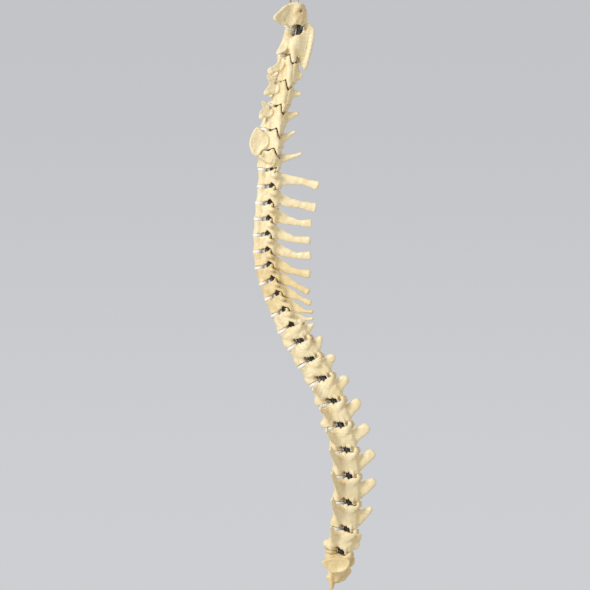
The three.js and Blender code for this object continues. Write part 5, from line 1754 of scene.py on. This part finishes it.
@dataclass(frozen=True)
class CastIvory(Finish):
    """Ivory casting resin: satin highlights over cream and ochre, with painted shade in its hollows, ochre and in the
    deepest ones dark brown.
    """

    name: str = "cast-ivory"
    cream: str = "#F7E9C3"
    tan: str = "#EAD49C"
    # Ochre: the grain, the pores and the painted shade in the hollows.
    ochre: str = "#B98F4C"
    # Dark brown painted shade in the deepest hollows.
    umber: str = "#6A4A26"
    # How strong the random tan tone and the painted shade in the hollows are.
    tone_and_painted_shade: float = 1.0

    def lay(self, r: Recipe) -> None:
        """Lays out the nodes."""
        recess = r.add("Attribute", attribute_name="recess").outputs["Fac"]
        cloud, patch, grain = r.noise(14.0, 3.0), r.noise(4.5, 4.0), r.noise(0.7, 3.0)
        uneven = r.maths("MULTIPLY", r.maths("SUBTRACT", patch, 0.5), 0.3)
        # Painted shade: how deep in a recess a point lies, made uneven by the patches, darkens the hollows to ochre
        # and the deepest ones to dark brown.
        deep = r.maths("ADD", recess, uneven)
        colour = r.blend(r.ramp(cloud, 0.4, 0.7, 0.0, 0.45 * self.tone_and_painted_shade), self.cream, self.tan)
        colour = r.blend(r.ramp(deep, 0.2, 0.85, 0.0, 0.6 * self.tone_and_painted_shade), colour, self.ochre)
        colour = r.blend(r.ramp(deep, 0.85, 1.3, 0.0, 0.85), colour, self.umber)
        colour = r.blend(r.ramp(grain, 0.6, 0.8, 0.0, 0.1), colour, self.ochre)
        cells = r.add("TexVoronoi", {"Vector": r.position(), "Scale": 1 / 1.3}, feature="F1")
        holes = r.ramp(cells.outputs["Distance"], 0.0, 0.35, 1.0, 0.0)
        pores = r.maths("MULTIPLY", holes, r.ramp(r.noise(7.0, 2.0), 0.5, 0.62))
        colour = r.blend(r.maths("MULTIPLY", pores, 0.25), colour, self.ochre)
        relief = r.maths("SUBTRACT", r.maths("MULTIPLY", patch, 0.8), pores)
        normal = r.bump(grain, 0.05, r.bump(relief, 0.16))
        rough = r.ramp(patch, 0.35, 0.7, 0.36, 0.5)
        glow = {"Weight": 0.08, "Radius": (1.0, 0.7, 0.4), "Scale": 1.2 * MM}
        glow = {f"Subsurface {key}": value for key, value in glow.items()}
        r.surface(Base_Color=colour, Roughness=rough, Normal=normal, **glow)


@dataclass(frozen=True)
class SpacerFoam(Finish):
    """White cellular foam: matt and bright, with a fine grain and, in the loin, grey streaks on its rim."""

    name: str = "spacer-foam"
    white: str = "#FAF8F4"
    grey: str = "#C9C5BE"
    streaks: float = 0.25

    def lay(self, r: Recipe) -> None:
        """Lays out the nodes."""
        fibre, cell = r.noise(0.9, 3.0, (1, 1, 0.12)), r.noise(0.5, 2.0)
        colour = r.blend(r.ramp(fibre, 0.45, 0.7, 0.0, self.streaks), self.white, self.grey)
        normal = r.bump(cell, 0.06, r.bump(fibre, 0.1 + 0.2 * self.streaks))
        r.surface(Base_Color=colour, Roughness=r.ramp(cell, 0.3, 0.7, 0.7, 0.9), Normal=normal)


@dataclass(frozen=True)
class CoreRubber(Finish):
    """Dark sleeve over a stranded core: near black, with grey streaks along it that are a painted highlight, made
    partly metallic so that they catch the light too.
    """

    name: str = "core-rubber"
    dark: str = "#2B2725"
    # The grey of the streaks: a painted highlight, partly metallic.
    worn: str = "#8D8F93"

    def lay(self, r: Recipe) -> None:
        """Lays out the nodes."""
        streak, fine = r.noise(0.8, 3.0, (1, 1, 0.08)), r.noise(0.4, 2.0)
        # Where the painted highlight streaks run along the core.
        worn = r.ramp(streak, 0.5, 0.64)
        colour = r.blend(worn, self.dark, self.worn)
        normal = r.bump(fine, 0.03, r.bump(streak, 0.12))
        metal, rough = r.maths("MULTIPLY", worn, 0.6), r.ramp(fine, 0.3, 0.7, 0.32, 0.5)
        r.surface(Base_Color=colour, Metallic=metal, Roughness=rough, Normal=normal)


@dataclass(frozen=True)
class DullBrass(Finish):
    """Handled brass wire: warm and metallic, with browner bands where it has tarnished."""

    name: str = "dull-brass"
    bright: str = "#D8C08A"
    tarnish: str = "#8A6A3E"

    def lay(self, r: Recipe) -> None:
        """Lays out the nodes."""
        band, fine = r.noise(3.0, 3.0), r.noise(0.3, 2.0, (1, 1, 0.2))
        colour = r.blend(r.ramp(band, 0.4, 0.7), self.bright, self.tarnish)
        rough, normal = r.ramp(band, 0.3, 0.7, 0.26, 0.42), r.bump(fine, 0.02)
        r.surface(Base_Color=colour, Metallic=1.0, Roughness=rough, Normal=normal)


@dataclass(frozen=True)
class PaleFloor(Finish):
    """Smooth pale grey paper that takes a soft shadow."""

    name: str = "pale-floor"
    grey: str = "#CFD0D3"

    def lay(self, r: Recipe) -> None:
        """Lays out the nodes."""
        fine = r.noise(30.0, 3.0)
        colour = r.blend(r.ramp(fine, 0.4, 0.6, 0.0, 0.1), self.grey, "#C6C8CC")
        r.surface(Base_Color=colour, Roughness=0.85)


@dataclass(frozen=True)
class Studio:
    """The floor, the camera and the light: a large soft lamp at the upper left, a weak one at the right."""

    target: tuple[float, float, float] = (0.72, 0.0, -310.4)
    distance: float = 3000.0
    azimuth: float = 9.0
    frame: float = 605.1
    sensor: float = 36.0
    floor: float = -900.0
    reach: float = 2800.0

    def build(self) -> None:
        """Sets the stage up."""
        self._camera()
        self._lamp("key", (-1.55, -2.2, 1.0), 1.1, 53.0)
        self._lamp("fill", (1.9, -1.9, -0.2), 1.4, 5.0)
        self._floor()
        self._surroundings()

    def _camera(self) -> None:
        """Puts the camera where the photo was taken from."""
        turn = math.radians(self.azimuth)
        data = bpy.data.cameras.new("camera")
        camera = bpy.data.objects.new("camera", data)
        x, y, z = self.target
        back = Vector((math.sin(turn), -math.cos(turn), 0))
        camera.location = Vector((x, y, z)) * MM + back * self.distance * MM
        camera.rotation_euler = (-back).to_track_quat("-Z", "Y").to_euler()
        data.sensor_width = self.sensor
        data.lens = self.sensor * self.distance / self.frame
        data.clip_start, data.clip_end = 0.1, 20.0
        bpy.context.scene.collection.objects.link(camera)
        bpy.context.scene.camera = camera

    def _lamp(self, name: str, spot: tuple[float, float, float], size: float, power: float) -> None:
        """Adds a square lamp that faces the model."""
        data = bpy.data.lights.new(name, "AREA")
        data.shape, data.size, data.energy = "SQUARE", size, power
        lamp = bpy.data.objects.new(name, data)
        lamp.location = spot
        lamp.rotation_euler = (Vector(self.target) * MM - Vector(spot)).to_track_quat("-Z", "Y").to_euler()
        bpy.context.scene.collection.objects.link(lamp)

    def _floor(self) -> None:
        """Lays the floor below the model."""
        sides = 96
        turn = np.arange(sides) / sides * 2 * math.pi
        radii = (1.0, 900.0, self.reach)
        level = np.full(sides, self.floor)
        rings = [np.stack([r * np.cos(turn), r * np.sin(turn), level], axis=1) for r in radii]
        points = np.concatenate(rings) * MM
        index = np.arange(len(points)).reshape(len(radii), sides)
        nxt = np.roll(index, -1, axis=1)
        quads = np.stack([index[:-1], index[1:], nxt[1:], nxt[:-1]], axis=2).reshape(-1, 4)
        floor = make_mesh("floor", points, quads)
        floor.data.materials.append(PaleFloor().make())
        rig.stage(floor)

    def _surroundings(self) -> None:
        """Sets the even light all round, and the grey that the camera sees behind the model."""
        world = bpy.data.worlds.new("studio")
        bpy.context.scene.world = world
        world.use_nodes = True
        r = Recipe(world.node_tree)
        path = r.add("LightPath")
        seen = path.outputs["Is Camera Ray"]
        for kind in ("Is Glossy Ray", "Is Transmission Ray"):
            seen = r.maths("MAXIMUM", seen, path.outputs[kind])
        height = r.add("SeparateXYZ", {0: r.add("TexCoord").outputs["Generated"]}).outputs[2]
        grey = r.blend(r.ramp(height, -0.1, 0.1), "#CDCFD2", "#C3C4C8")
        back = r.add("Background", {0: r.blend(seen, "#C6C0B4", grey), 1: 1.0})
        r.add("OutputWorld", {0: back.outputs[0]})
        bpy.context.scene.view_settings.view_transform = "Standard"


class Model:
    """The whole hanging column."""

    def __init__(self) -> None:
        """Lays the column out and makes its finishes."""
        self.layout = Layout()
        self.ivory = CastIvory().make()
        # The old ivory is yellower, with more tan tone and stronger painted shade in its hollows.
        self.old_ivory = CastIvory("old-ivory", "#F2DFB0", "#E0C68C", "#A97F3E", tone_and_painted_shade=1.2).make()
        self.foam = SpacerFoam().make()
        self.grey_foam = SpacerFoam("worn-foam", "#EEECE8", "#A8A49C", 0.8).make()
        self.tan_foam = SpacerFoam("tan-pad", "#E6D3A4", "#BFA56C", 0.6).make()
        self.core = CoreRubber().make()
        self.brass = DullBrass().make()

    def bones(self) -> None:
        """Makes the bones."""
        kinds = {Region.NECK: NeckBone, Region.CHEST: ChestBone, Region.LOIN: LoinBone}
        special = {"axis_c2": AxisBone, "sacrum": SacrumBone}
        old = {"thoracic_6", "thoracic_7", "thoracic_8", "thoracic_9", "sacrum"}
        atlas = AtlasBone(self.layout).build()
        atlas.data.materials.append(self.ivory)
        for site in self.layout.sites:
            bone = special.get(site.row.name, kinds[site.row.pattern.region])(site).build()
            bone.data.materials.append(self.old_ivory if site.row.name in old else self.ivory)
            LOG.info("made %s with %d faces", bone.name, len(bone.data.polygons))

    def spacers(self) -> None:
        """Makes the foam discs and the pad over the axis."""
        place = self.layout.shoulders.moved(0, PAD_GAP / 2)
        pad = Spacer("atlas_axis_pad", place, *PAD_SIZE, PAD_GAP).build("atlas", "axis", PAD_NOTCH)
        pad.data.materials.append(self.foam)
        for site in self.layout.sites[:-1]:
            name, joint = site.row.name, site.joint
            place = site.foot.moved(-joint.inset / 2, 0)
            disc = Spacer(f"disc_below_{name}", place, joint.width, joint.depth - joint.inset, joint.disc)
            made = disc.build(Layout.body(name))
            look = self.grey_foam if name.startswith("lumbar") else self.foam
            made.data.materials.append(self.tan_foam if site.below.row.name == "sacrum" else look)

    def fittings(self) -> None:
        """Makes the core, the loop and the ferrules."""
        for piece in Core(self.layout).build():
            piece.data.materials.append(self.core)
        for piece in Hanger(self.layout).build():
            piece.data.materials.append(self.brass)


def main() -> None:
    """Builds the scene in order."""
    logging.basicConfig(level=logging.INFO)
    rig.load()
    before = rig.bounds()
    Studio().build()
    model = Model()
    model.bones()
    model.spacers()
    model.fittings()
    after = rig.bounds()
    with open(SIZE_FILE, "w") as file:
        json.dump({"cad": [list(c) for c in before], "scene": [list(c) for c in after]}, file)
    LOG.info("cad %s, scene %s", before, after)


if __name__ == "__main__":
    main()
